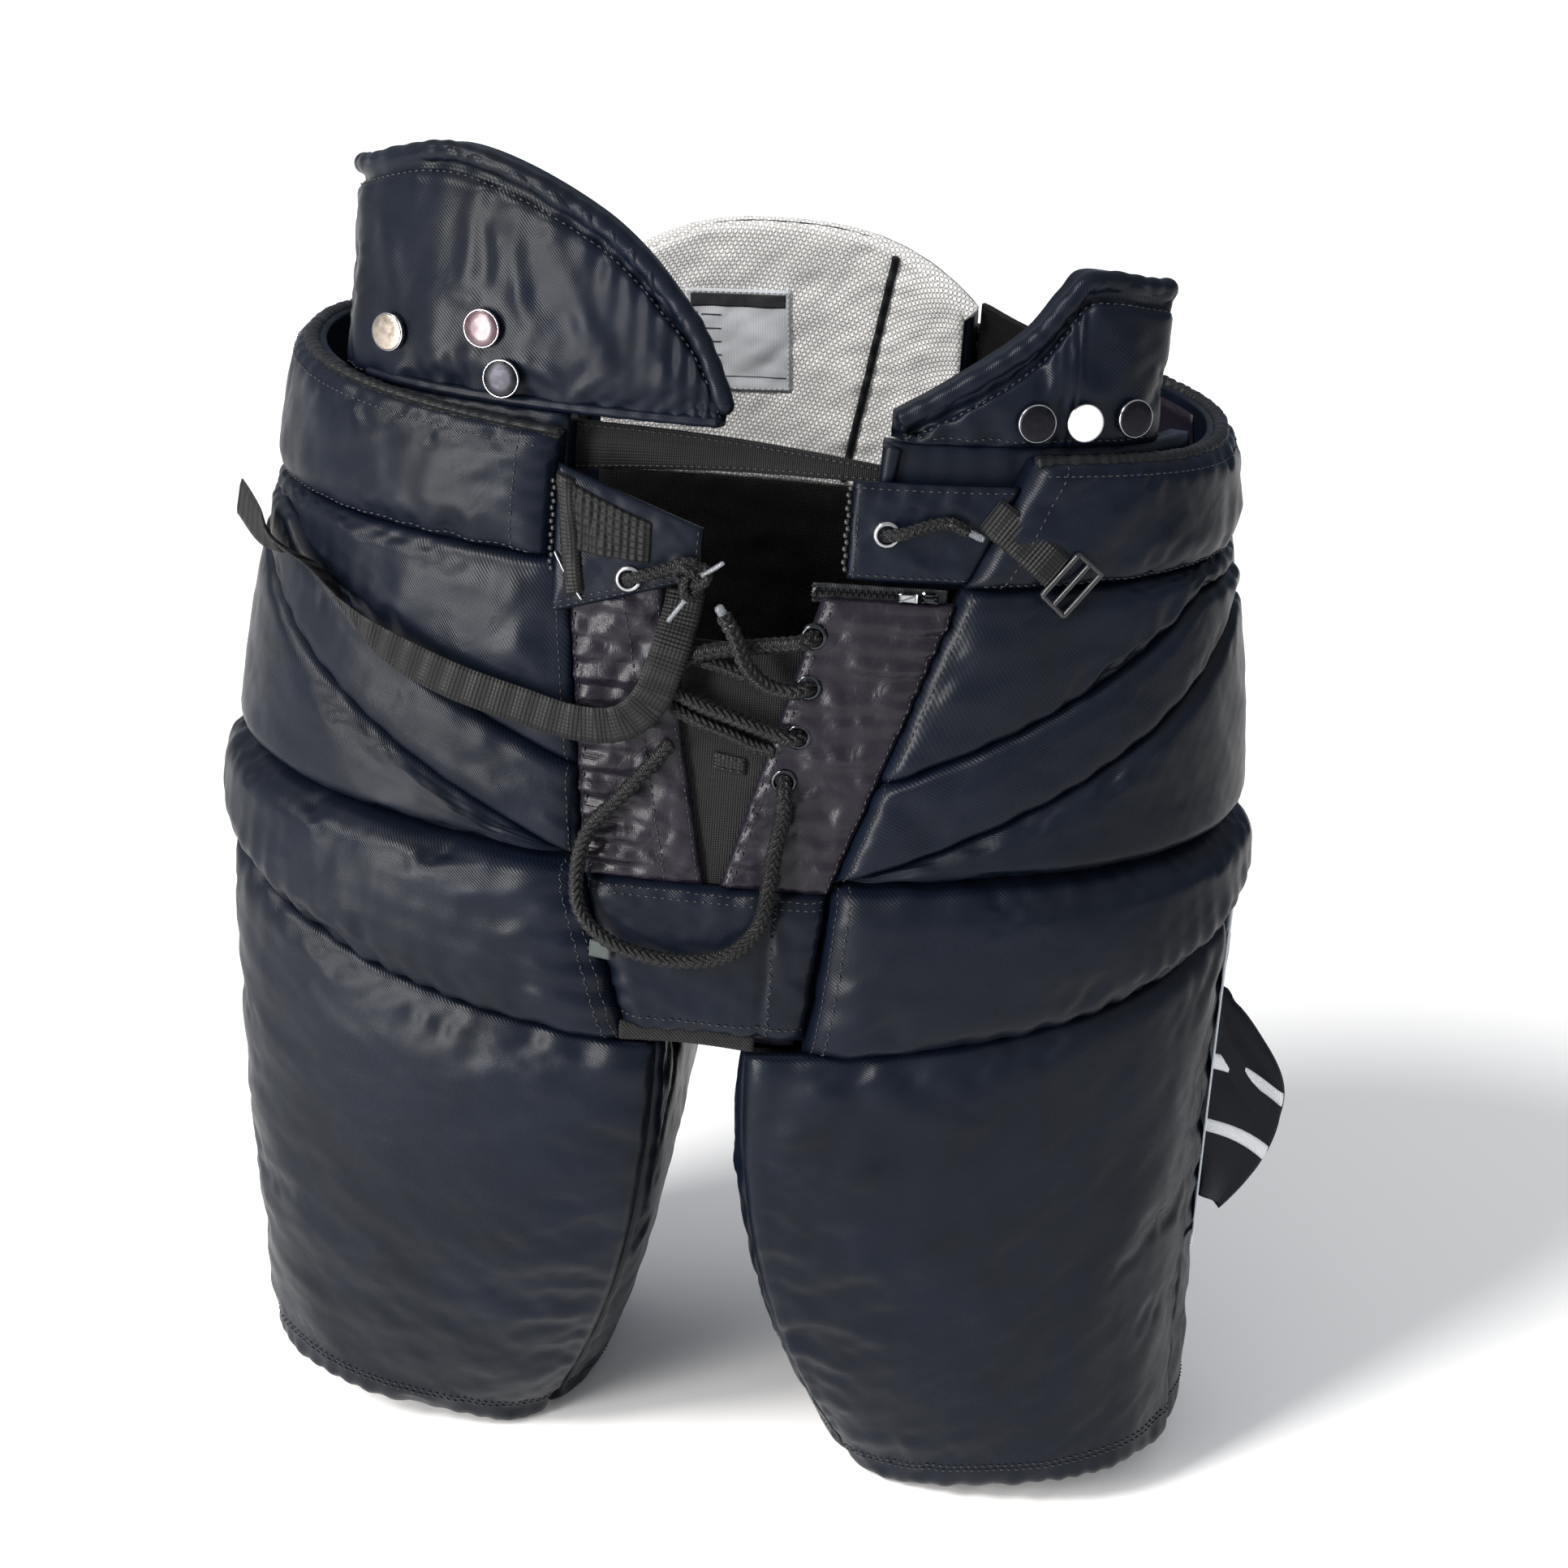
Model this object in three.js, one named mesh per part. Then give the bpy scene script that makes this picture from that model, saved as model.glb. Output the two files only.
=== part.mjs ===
// Padded goalie-style ice hockey pants, standing on their two leg hems.
// Millimetres, +Z up, front towards -Y, the wearer's left towards +X.
// The origin is the middle of the footprint, on the floor.
import * as THREE from "three";

// Driving sizes of the padded body
const HIP_HALF_WIDTH = 288;
const HIP_HALF_DEPTH = 150;
const WAIST_HALF_WIDTH = 252;
const WAIST_HALF_DEPTH = 138;
const HIP_Z = 370;
const WAIST_Z = 637;
const SQUARENESS = 2.4;
const BELT_TOP_Z = 624;
const BELT_BOTTOM_Z = 561;
const CROTCH_Z = 297;

// Layers, as distances outwards (+) or inwards (-) from the body surface
const GAP = 0.4;
const LAYER_GAP = 0.8;
const SHELL_INNER = -12;
const SHELL_EDGE = -2;
const SHELL_PUFF = 7;
const BELT_OUTER = 4;
const BASE_THICKNESS = 13;
const FLAP_THICKNESS = 14;
const STRAP_THICKNESS = 2;
const CLOTH = 3;
const PLATE_THICKNESS = 2.5;
const LINING_THICKNESS = 2;

// Legs
const HEM_HALF_DEPTH = 98;
const HEM_RISE = 30;
const THIGH_THICKNESS = 16;
const LEG_CLOTH = 8;
const INNER_WALL_X = 21;

// Fastenings
const EYELET_RIM = 2.9;
const EYELET_HEIGHT = 1.8;
const BUTTON_RADIUS = 10;
const BUTTON_HEAD = 3;
const BUTTON_STEM_RADIUS = 4.5;
const BUTTON_STEM = 4.5;
const LACE_DIAMETER = 8;
const WAIST_LACE_DIAMETER = 6.6;
const EYELET_BORE = LACE_DIAMETER / 2 + GAP;
const EYELET_RADIUS = EYELET_BORE + EYELET_RIM;
const WEBBING_WIDTH = 20;
const BUCKLE_WIDTH = 32;
const BUCKLE_LENGTH = 20;
const BUCKLE_THICKNESS = 3;
const BUCKLE_BAR = 3.2;
const ZIP_WIDTH = 6;
const FLAP_BASE_Z = 636;

const DEG = Math.PI / 180;
const lerp = THREE.MathUtils.lerp;
const group = new THREE.Group();
group.name = "hockey_pants";

const nylon = { color: 0x24262b, roughness: 0.55, metalness: 0 };
const thinNylon = { color: 0x2a2630, roughness: 0.6, metalness: 0 };
const webbing = { color: 0x1b1c1f, roughness: 0.85, metalness: 0 };
const mesh = { color: 0xc9c6bf, roughness: 0.95, metalness: 0 };
const plastic = { color: 0x18191b, roughness: 0.4, metalness: 0 };
const plate = { color: 0xd8d8d2, roughness: 0.5, metalness: 0 };
const nickel = { color: 0x9a9ca0, roughness: 0.25, metalness: 1 };

function add(name, geometry, look) {
  const piece = new THREE.Mesh(geometry, new THREE.MeshStandardMaterial(look));
  piece.name = name;
  group.add(piece);
  return piece;
}

// Half width and half depth of the body at a height.
function halfWidth(z) {
  const t = Math.max(0, (z - HIP_Z) / (WAIST_Z - HIP_Z));
  return lerp(HIP_HALF_WIDTH, WAIST_HALF_WIDTH, t);
}
function halfDepth(z) {
  const t = Math.max(0, (z - HIP_Z) / (WAIST_Z - HIP_Z));
  return lerp(HIP_HALF_DEPTH, WAIST_HALF_DEPTH, t);
}

function rounded(value) {
  return Math.sign(value) * Math.abs(value) ** (2 / SQUARENESS);
}

// A point of the body surface: the angle is 0 at the front and 90 at the wearer's left.
function bodyPoint(angle, z, offset) {
  return new THREE.Vector3(
    (halfWidth(z) + offset) * rounded(Math.sin(angle * DEG)),
    -(halfDepth(z) + offset) * rounded(Math.cos(angle * DEG)),
    z,
  );
}

// The angle at which a layer at some offset has this x, on the front.
function angleAt(x, z, layer = 0) {
  const share = Math.min(0.999, Math.abs(x) / (halfWidth(z) + layer));
  return Math.sign(x) * Math.asin(share ** (SQUARENESS / 2)) / DEG;
}

function frontPoint(x, z, offset, layer) {
  return bodyPoint(angleAt(x, z, layer), z, offset);
}

function backPoint(x, z, offset, layer) {
  return bodyPoint(180 - angleAt(x, z, layer), z, offset);
}

// The outward direction of the body at a point of its front.
function frontNormal(x, z) {
  const step = 2;
  const across = frontPoint(x + step, z, 0).sub(frontPoint(x - step, z, 0));
  const up = frontPoint(x, z + step, 0).sub(frontPoint(x, z - step, 0));
  return across.cross(up).normalize();
}

// A closed slab: u runs towards the wearer's left, v up, w from the inner to the outer face.
function slab(columns, rows, place) {
  const geometry = new THREE.BoxGeometry(1, 1, 1, columns, rows, 1);
  const position = geometry.attributes.position;
  for (let i = 0; i < position.count; i += 1) {
    const u = position.getX(i) + 0.5;
    const v = position.getY(i) + 0.5;
    const w = position.getZ(i) + 0.5;
    const point = place(u, v, w);
    position.setXYZ(i, point.x, point.y, point.z);
  }
  geometry.computeVertexNormals();
  return geometry;
}

// 0 on the border of a slab and 1 in its middle.
function puff(u, v) {
  return (Math.sin(Math.PI * u) * Math.sin(Math.PI * v)) ** 0.4;
}

function tube(points, diameter, steps, sides) {
  const outline = new THREE.Shape();
  outline.absarc(0, 0, diameter / 2, 0, 2 * Math.PI);
  return new THREE.ExtrudeGeometry(outline, {
    steps,
    curveSegments: sides,
    bevelEnabled: false,
    extrudePath: new THREE.CatmullRomCurve3(points),
  });
}

// A turned piece whose axis, its profile's y, points along a direction.
function turned(profile, place, direction, segments) {
  const points = profile.map(([radius, height]) => new THREE.Vector2(radius, height));
  const geometry = new THREE.LatheGeometry(points, segments);
  const turn = new THREE.Quaternion().setFromUnitVectors(new THREE.Vector3(0, 1, 0), direction);
  geometry.applyQuaternion(turn);
  geometry.translate(place.x, place.y, place.z);
  return geometry;
}

// Where the fly seam meets the thigh pads, as an angle.
const FLY_ANGLE = angleAt(66, CROTCH_Z + 98);

// Seam heights, as functions of the angle from the nearer of front and back.
function fold(angle) {
  const size = Math.abs(angle);
  return size > 90 ? 180 - size : size;
}
function beltTop(angle) {
  // The left side sits lower between its front end and the back.
  const dip = angle > 20 && angle < 170 ? 15 * Math.sin((Math.PI * (angle - 20)) / 150) ** 2 : 0;
  return BELT_TOP_Z + 0.25 * Math.min(90, Math.abs(angle)) - dip;
}
function beltBottom(angle) {
  return BELT_BOTTOM_Z + 0.15 * fold(angle);
}
function upperSeam(angle) {
  return Math.min(BELT_BOTTOM_Z - 101 + 1.95 * (fold(angle) - FLY_ANGLE - 5.8), beltBottom(angle) - 14);
}
function middleSeam(angle) {
  return Math.min(CROTCH_Z + 112 + 2.02 * (fold(angle) - FLY_ANGLE - 4.2), upperSeam(angle) - 16);
}
function lowerSeam(angle) {
  return CROTCH_Z + 100 + 0.32 * fold(angle);
}
function legSeam(angle) {
  return CROTCH_Z + 95 * (fold(angle) / 90) ** 1.5;
}

// The seam between the fly and the hip panels, as a distance from the middle.
function flySeam(side, z) {
  const rise = z - CROTCH_Z - 98;
  if (side > 0) return 64 + (rise > 0 ? 0.34 : 0.08) * rise;
  return 68 + (rise > 0 ? 0.1 : 0.3) * rise;
}

// A padded panel of the hip between two seams, from the fly seam to the side seam.
function hipPanel(name, side, low, high, columns, swell) {
  const place = (u, v, w) => {
    const across = side > 0 ? u : 1 - u;
    let first = 16;
    for (let round = 0; round < 8; round += 1) {
      const start = lerp(low(first), high(first), v);
      first = angleAt(flySeam(side, start) + LAYER_GAP, start);
    }
    const angle = lerp(first, 90, across);
    const z = lerp(low(angle) + GAP, high(angle) - GAP, v);
    const outer = lerp(SHELL_EDGE, swell, puff(u, v));
    return bodyPoint(side * angle, z, lerp(SHELL_INNER, outer, w));
  };
  add(name, slab(columns, 4, place), nylon);
}

// Waist belts, hip panels and the bulging pads above the thighs
function beltFront(belt, z) {
  const rise = (z - BELT_BOTTOM_Z) / (BELT_TOP_Z - BELT_BOTTOM_Z);
  return lerp(belt.frontBottom, belt.frontTop, rise);
}
const belts = [
  { side: -1, name: "right", frontTop: 93, frontBottom: 96 },
  { side: 1, name: "left", frontTop: 150, frontBottom: 121 },
];
for (const belt of belts) {
  const { side, name } = belt;
  const place = (u, v, w) => {
    const across = side > 0 ? u : 1 - u;
    let first = 30;
    for (let round = 0; round < 8; round += 1) {
      const start = lerp(beltBottom(first), beltTop(first), v);
      first = angleAt(beltFront(belt, start), start);
    }
    const angle = lerp(first, 180 - 0.1, across);
    const z = lerp(beltBottom(angle) + GAP, beltTop(angle), v);
    const outer = lerp(-3, BELT_OUTER, puff(u, v));
    return bodyPoint(side * angle, z, lerp(SHELL_INNER, outer, w));
  };
  add(`${name}_waist_belt`, slab(22, 3, place), nylon);
  hipPanel(`${name}_hip_upper_panel`, side, upperSeam, beltBottom, 9, 3);
  hipPanel(`${name}_hip_middle_panel`, side, middleSeam, upperSeam, 9, 4);
  hipPanel(`${name}_hip_lower_panel`, side, lowerSeam, middleSeam, 9, 5);
  hipPanel(`${name}_upper_thigh_pad`, side, legSeam, lowerSeam, 10, SHELL_PUFF + 5);
}

// Seat, from side seam to side seam round the back
add("seat_panel", slab(20, 4, (u, v, w) => {
  const angle = lerp(90.3, 269.7, u);
  const fromBack = angle > 180 ? angle - 360 : angle;
  const z = lerp(legSeam(fromBack) + GAP, beltBottom(fromBack) - GAP, v);
  const outer = lerp(SHELL_EDGE, 2, puff(u, v));
  return bodyPoint(angle, z, lerp(SHELL_INNER, outer, w));
}), nylon);

// Fly: two thin plackets that open in a V, a tongue behind them and the cup pocket below
const FLY_BOTTOM_Z = CROTCH_Z + 98;
const PLACKET_TOP_Z = BELT_BOTTOM_Z - 5;
function flyEdge(side, z) {
  const rise = z - FLY_BOTTOM_Z;
  return side > 0 ? 6 + 0.27 * rise : 3 + 0.2 * rise;
}
for (const [side, name] of [[-1, "right"], [1, "left"]]) {
  add(`${name}_fly_placket`, slab(5, 6, (u, v, w) => {
    const across = side > 0 ? u : 1 - u;
    const z = lerp(FLY_BOTTOM_Z, PLACKET_TOP_Z, v);
    const x = lerp(flyEdge(side, z), flySeam(side, z) - GAP, across);
    return frontPoint(side * x, z, lerp(-3 - CLOTH, -3, w));
  }), thinNylon);
}
add("fly_tongue", slab(5, 4, (u, v, w) => {
  const z = lerp(FLY_BOTTOM_Z - 8, FLY_BOTTOM_Z + 132, v);
  return frontPoint(lerp(-44, 44, u), z, lerp(-3 - 2 * CLOTH - GAP, -3 - CLOTH - GAP, w));
}), thinNylon);
add("cup_pocket", slab(6, 5, (u, v, w) => {
  const z = lerp(CROTCH_Z + 12, FLY_BOTTOM_Z - GAP, v);
  const x = lerp(-flySeam(-1, z) + GAP, flySeam(1, z) - GAP, u);
  const inner = z > FLY_BOTTOM_Z - 12 ? -2.6 : -7;
  return frontPoint(x, z, lerp(inner, lerp(-2, 5, puff(u, v)), w));
}), nylon);
add("crotch_gusset", slab(2, 8, (u, v, w) => new THREE.Vector3(
  lerp(-50, 50, u),
  lerp(-HIP_HALF_DEPTH + 14, HIP_HALF_DEPTH - 13.4, v),
  CROTCH_Z + lerp(3, 11.4, w),
)), thinNylon);

// Layers inside the waist: the bases that carry the belly flaps, and the back pad
const BASE_OUTER = SHELL_INNER - LAYER_GAP;
const BASE_INNER = BASE_OUTER - BASE_THICKNESS;
const BASE_LAYER = (BASE_OUTER + BASE_INNER) / 2;
const flaps = [
  {
    name: "right", from: -206, to: -9, baseFrom: -212, baseTo: -88,
    edge: [[-214, 744], [-152, 763], [-78, 738], [-30, 694], [-9, 652]],
    buttons: [[-180, 664], [-130, 675], [-119, 651]],
  },
  {
    name: "left", from: 78, to: 222, baseFrom: 74, baseTo: 226,
    edge: [[78, 650], [104, 666], [141, 692], [158, 713], [171, 724], [210, 716]],
    buttons: [[190, 651], [166, 650], [143, 650]],
  },
];
for (const { name, edge, buttons, baseFrom, baseTo } of flaps) {
  add(`${name}_belly_base`, slab(8, 2, (u, v, w) => {
    const z = lerp(BELT_BOTTOM_Z, FLAP_BASE_Z - GAP, v);
    return frontPoint(lerp(baseFrom, baseTo, u), z, lerp(BASE_INNER, BASE_OUTER, w), BASE_LAYER);
  }), nylon);
  const curve = new THREE.SplineCurve(edge.map(([x, z]) => new THREE.Vector2(x, z)));
  add(`${name}_belly_flap`, slab(12, 7, (u, v, w) => {
    const top = curve.getPoint(u);
    const z = lerp(FLAP_BASE_Z, top.y, v);
    const inside = Math.min(1, 12 * u, 12 * (1 - u), 7 * v, 7 * (1 - v));
    const inner = BASE_OUTER - FLAP_THICKNESS;
    const outer = inner + lerp(0.6, 1, inside) * FLAP_THICKNESS;
    return frontPoint(top.x, z, lerp(inner, outer, w), BASE_LAYER);
  }), nylon);
  buttons.forEach(([x, z], index) => {
    const seat = frontPoint(x, z, BASE_OUTER + GAP, BASE_LAYER);
    const profile = [
      [0, 0],
      [BUTTON_STEM_RADIUS, 0],
      [BUTTON_STEM_RADIUS, BUTTON_STEM],
      [BUTTON_RADIUS - 1, BUTTON_STEM],
      [BUTTON_RADIUS, BUTTON_STEM + 1],
      [BUTTON_RADIUS, BUTTON_STEM + BUTTON_HEAD - 1],
      [BUTTON_RADIUS - 1.2, BUTTON_STEM + BUTTON_HEAD],
      [0, BUTTON_STEM + BUTTON_HEAD + 0.4],
    ];
    const geometry = turned(profile, seat, frontNormal(x, z), 14);
    add(`${name}_flap_button_${index + 1}`, geometry, nickel);
  });
}

// Back pad, its mesh lining, the plate behind it, and the ribbed corners beside it
const BACK_PAD_HALF_WIDTH = 106;
const BACK_PAD_TOP_Z = 702;
const PLATE_OUTER = SHELL_INNER - LAYER_GAP;
const BACK_PAD_OUTER = PLATE_OUTER - PLATE_THICKNESS - LAYER_GAP;
const BACK_PAD_INNER = BACK_PAD_OUTER - 14;
function backPadTop(x, halfSpan) {
  return BACK_PAD_TOP_Z - 40 * Math.abs(x / halfSpan) ** 2.6;
}
function backSlab(name, halfSpan, bottom, margin, inner, outer, look, columns) {
  add(name, slab(columns, 5, (u, v, w) => {
    const x = lerp(halfSpan, -halfSpan, u);
    const z = lerp(bottom, backPadTop(x, halfSpan) - margin, v);
    return backPoint(x, z, lerp(inner, outer, w), BACK_PAD_INNER);
  }), look);
}
backSlab("back_pad", BACK_PAD_HALF_WIDTH, 420, 0, BACK_PAD_INNER, BACK_PAD_OUTER, nylon, 8);
const LINING_OUTER = BACK_PAD_INNER - LAYER_GAP;
const LINING_INNER = LINING_OUTER - LINING_THICKNESS;
backSlab("back_lining", BACK_PAD_HALF_WIDTH - 2, 430, 2, LINING_INNER, LINING_OUTER, mesh, 8);
add("tail_plate", slab(6, 4, (u, v, w) => {
  const z = lerp(CROTCH_Z + 43, BELT_TOP_Z - 4, v);
  return backPoint(lerp(70, -70, u), z, lerp(PLATE_OUTER - PLATE_THICKNESS, PLATE_OUTER, w));
}), plate);
for (const [side, name] of [[-1, "right"], [1, "left"]]) {
  add(`${name}_back_corner`, slab(5, 3, (u, v, w) => {
    const across = side > 0 ? 1 - u : u;
    const x = lerp(BACK_PAD_HALF_WIDTH + 2, 200, across);
    const top = 664 - 14 * Math.sin(Math.PI * across);
    const z = lerp(BELT_BOTTOM_Z, top, v);
    return backPoint(side * x, z, lerp(PLATE_OUTER - 8, PLATE_OUTER, w), BACK_PAD_INNER);
  }), webbing);
}

// Elastic strap across the belly, behind the two bases
const STRAP_OUTER = BASE_INNER - LAYER_GAP;
add("belly_strap", slab(12, 1, (u, v, w) => {
  const x = lerp(-124, 92, u);
  const middle = 614 + 6 * Math.sin(Math.PI * u);
  const z = middle + lerp(-15, 15, v) * lerp(1, 0.25, u);
  return frontPoint(x, z, lerp(STRAP_OUTER - STRAP_THICKNESS, STRAP_OUTER, w), STRAP_OUTER);
}), webbing);

// Lace tabs beside the fly, with a metal grommet in each
const TAB_OUTER = { right: 1.6, left: -3 };
add("right_lace_tab", slab(5, 3, (u, v, w) => {
  const x = lerp(-90, -14, u);
  const low = lerp(536, 562, u);
  const high = lerp(614, 588, u);
  return frontPoint(x, lerp(low, high, v), lerp(TAB_OUTER.right - CLOTH, TAB_OUTER.right, w));
}), nylon);
add("left_lace_tab", slab(5, 3, (u, v, w) => {
  const z = lerp(567, 618, v);
  const x = lerp(61, beltFront(belts[1], z) - LAYER_GAP, u);
  return frontPoint(x, z, lerp(TAB_OUTER.left - CLOTH, TAB_OUTER.left, w));
}), nylon);

function ring(name, x, z, offset, look) {
  const profile = [
    [EYELET_BORE, 0],
    [EYELET_RADIUS, 0],
    [EYELET_RADIUS - 0.6, 0.6 * EYELET_HEIGHT],
    [EYELET_RADIUS - 2, EYELET_HEIGHT],
    [EYELET_BORE, 0.5 * EYELET_HEIGHT],
    [EYELET_BORE, 0],
  ];
  add(name, turned(profile, frontPoint(x, z, offset), frontNormal(x, z), 16), look);
}
const GROMMETS = { right: [-50, 559], left: [79, 592] };
for (const [name, [x, z]] of Object.entries(GROMMETS)) {
  ring(`${name}_tab_grommet`, x, z, TAB_OUTER[name] + GAP, nickel);
}
const EYELETS = [[46, 536], [45, 509], [42, 482], [36, 457]];
EYELETS.forEach(([x, z], index) => {
  ring(`fly_eyelet_${index + 1}`, x, z, -3 + GAP, { ...nickel, color: 0x2a2b2e });
});

// Round laces, by points (x, z, distance in front of the body surface)
function laid(points) {
  return points.map(([x, z, offset]) => frontPoint(x, z, offset));
}
// The straight start of a lace that comes out of a ring's bore.
function outOf([x, z], ringOffset) {
  return [[x, z, ringOffset + 0.6], [x, z, ringOffset + EYELET_HEIGHT + 1.5]];
}
const ON_PLACKET = -3 + GAP;
add("fly_lace", tube(laid([
  ...outOf(EYELETS[0], ON_PLACKET), [39, 534, 5], [26, 531, 3], [8, 528, 3.5], [-12, 523, 3.5],
  [-24, 514, 4], [-25, 505, 4.2], [-14, 498, 4], [4, 492, 4], [22, 486, 3], [34, 483, 5],
  ...outOf(EYELETS[2], ON_PLACKET).reverse(),
]), LACE_DIAMETER, 34, 8), webbing);
add("fly_lace_end", tube(laid([
  [0, 548, 13.5], [6, 538, 13.5], [13, 522, 13], [24, 511, 8.5], [37, 508, 5.5],
  ...outOf(EYELETS[1], ON_PLACKET).reverse(),
]), LACE_DIAMETER, 18, 8), webbing);
add("fly_lace_loop", tube(laid([
  [-24, 473, 2.5], [-34, 460, 4.5], [-48, 442, 7], [-62, 424, 8], [-67, 402, 9], [-63, 380, 13],
  [-48, 366, 15], [-26, 359, 15], [-4, 359, 15], [16, 366, 15], [28, 382, 14], [32, 404, 8],
  [34, 424, 6], [37, 441, 5], [36.4, 451, 7], ...outOf(EYELETS[3], ON_PLACKET).reverse(),
]), LACE_DIAMETER, 40, 8), webbing);
add("right_waist_lace", tube(laid([
  ...outOf(GROMMETS.right, TAB_OUTER.right + GAP), [-43, 562, 8], [-30, 567, 6], [-19, 571, 6],
  [-13, 566, 7], [-15, 556, 7],
]), WAIST_LACE_DIAMETER, 18, 8), webbing);
add("left_waist_lace", tube(laid([
  ...outOf(GROMMETS.left, TAB_OUTER.left + GAP), [86, 594, 3.5], [98, 598, 2], [109, 600, 1.5],
  [119, 596, 1.5],
]), WAIST_LACE_DIAMETER, 16, 8), webbing);

// A flat strap by points (x, z, distance in front, turn of the strap about its own length)
function flatStrap(name, route, width, thickness, steps) {
  const path = new THREE.CatmullRomCurve3(laid(route));
  const turns = new THREE.SplineCurve(route.map(([, , , turn], i) => new THREE.Vector2(i, turn)));
  add(name, slab(steps, 1, (u, v, w) => {
    const centre = path.getPoint(u);
    const along = path.getTangent(u).normalize();
    const out = frontNormal(centre.x, centre.z);
    const across = new THREE.Vector3().crossVectors(out, along).normalize();
    const face = new THREE.Vector3().crossVectors(along, across).normalize();
    const turn = turns.getPoint(u).y * DEG;
    const wide = across.clone().multiplyScalar(Math.cos(turn)).addScaledVector(face, Math.sin(turn));
    const thin = new THREE.Vector3().crossVectors(along, wide);
    return centre
      .addScaledVector(wide, (v - 0.5) * width)
      .addScaledVector(thin, (w - 0.5) * thickness);
  }), webbing);
}
flatStrap("loose_strap", [
  [-266, 546, 24, 0], [-238, 544, 14, 0], [-212, 536, 10, 5], [-190, 523, 16, 65], [-170, 510, 16, 75],
  [-135, 497, 15, 45], [-100, 487, 10, 10], [-70, 481, 9, 0], [-48, 484, 10, 0], [-34, 498, 11.5, 5],
  [-28, 515, 12.5, 10], [-25, 528, 9, 5], [-23, 541, 0, 0], [-22, 553, -5.5, 0],
], WEBBING_WIDTH, STRAP_THICKNESS, 44);

// Webbing that comes from under the left belt, and the slide buckle on its end
const webbingEnd = [162.5, 577.5];
flatStrap("buckle_webbing", [
  [130, 605, -1.2, 0], [139, 598, 2.2, 0], [150, 588.5, BELT_OUTER + 1.2, 0],
  [webbingEnd[0], webbingEnd[1], BELT_OUTER + 2.2, 0],
], WEBBING_WIDTH, STRAP_THICKNESS, 6);
const buckleOutline = new THREE.Shape();
const halfBuckle = BUCKLE_WIDTH / 2;
buckleOutline.moveTo(0, -halfBuckle);
buckleOutline.lineTo(BUCKLE_LENGTH, -halfBuckle);
buckleOutline.lineTo(BUCKLE_LENGTH, halfBuckle);
buckleOutline.lineTo(0, halfBuckle);
const slotLength = (BUCKLE_LENGTH - 3 * BUCKLE_BAR) / 2;
const slots = [
  { start: BUCKLE_BAR, half: halfBuckle - BUCKLE_BAR },
  { start: 2 * BUCKLE_BAR + slotLength, half: halfBuckle - BUCKLE_BAR - 0.5 },
];
for (const { start, half } of slots) {
  const slot = new THREE.Path();
  slot.moveTo(start, -half);
  slot.lineTo(start, half);
  slot.lineTo(start + slotLength, half);
  slot.lineTo(start + slotLength, -half);
  buckleOutline.holes.push(slot);
}
const buckleGeometry = new THREE.ExtrudeGeometry(buckleOutline, {
  depth: BUCKLE_THICKNESS,
  bevelEnabled: false,
});
buckleGeometry.translate(0, 0, -BUCKLE_THICKNESS / 2);
const buckleFrame = new THREE.Matrix4();
const buckleOut = frontNormal(...webbingEnd);
const buckleDown = frontPoint(...webbingEnd, 0).sub(frontPoint(150, 588.5, 0)).normalize();
const buckleAcross = new THREE.Vector3().crossVectors(buckleOut, buckleDown).normalize();
buckleFrame.makeBasis(buckleDown, buckleAcross, new THREE.Vector3().crossVectors(buckleDown, buckleAcross));
const bucklePlace = frontPoint(...webbingEnd, BELT_OUTER + 2.2).addScaledVector(buckleDown, LAYER_GAP);
buckleGeometry.applyMatrix4(buckleFrame);
buckleGeometry.translate(bucklePlace.x, bucklePlace.y, bucklePlace.z);
add("slide_buckle", buckleGeometry, plastic);

// Zip along the top of the left placket, straight, with its slider and pull
const zipZ = PLACKET_TOP_Z + GAP + ZIP_WIDTH / 2;
const zipFrom = frontPoint(44, zipZ, -5);
const zipTo = frontPoint(114, zipZ, -5);
const zipAlong = zipTo.clone().sub(zipFrom).normalize();
const zipOut = new THREE.Vector3(zipAlong.y, -zipAlong.x, 0);
function zipBox(name, along, alongSize, low, high, inner, outer, look) {
  const geometry = new THREE.BoxGeometry(alongSize, outer - inner, high - low);
  geometry.rotateZ(Math.atan2(zipAlong.y, zipAlong.x));
  const place = zipFrom.clone().addScaledVector(zipAlong, along);
  place.addScaledVector(zipOut, (inner + outer) / 2);
  geometry.translate(place.x, place.y, place.z + (low + high) / 2);
  add(name, geometry, look);
}
const zipLength = zipTo.distanceTo(zipFrom);
zipBox("zip_chain", zipLength / 2, zipLength, -ZIP_WIDTH / 2, ZIP_WIDTH / 2, -1.5, 2.6, plastic);
zipBox("zip_slider", zipLength - 9, 11, -3.1, 4.6, 3, 7, plastic);
zipBox("zip_pull", zipLength - 20.2, 10.6, -3, 3, 4, 5.6, nickel);

// Legs: each runs from the leg seam of the body down to an oval hem
const legs = [
  { side: -1, name: "right", hemX: 167, hemY: 18, hemHalfWidth: 98 },
  { side: 1, name: "left", hemX: 185, hemY: -2, hemHalfWidth: 105 },
];
function hemHeight(turn) {
  return HEM_RISE * Math.max(0, Math.sin((turn + 30) * 0.857 * DEG));
}
// The angle round the hem is 0 at the front and 90 on the outer side.
function hemPoint(leg, turn, offset) {
  return new THREE.Vector3(
    leg.side * (leg.hemX + (leg.hemHalfWidth + offset) * rounded(Math.sin(turn * DEG))),
    leg.hemY - (HEM_HALF_DEPTH + offset) * rounded(Math.cos(turn * DEG)),
    0,
  );
}
const WALL_ANGLE = angleAt(INNER_WALL_X, CROTCH_Z);
const WALL_TURN = -50;
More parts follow.
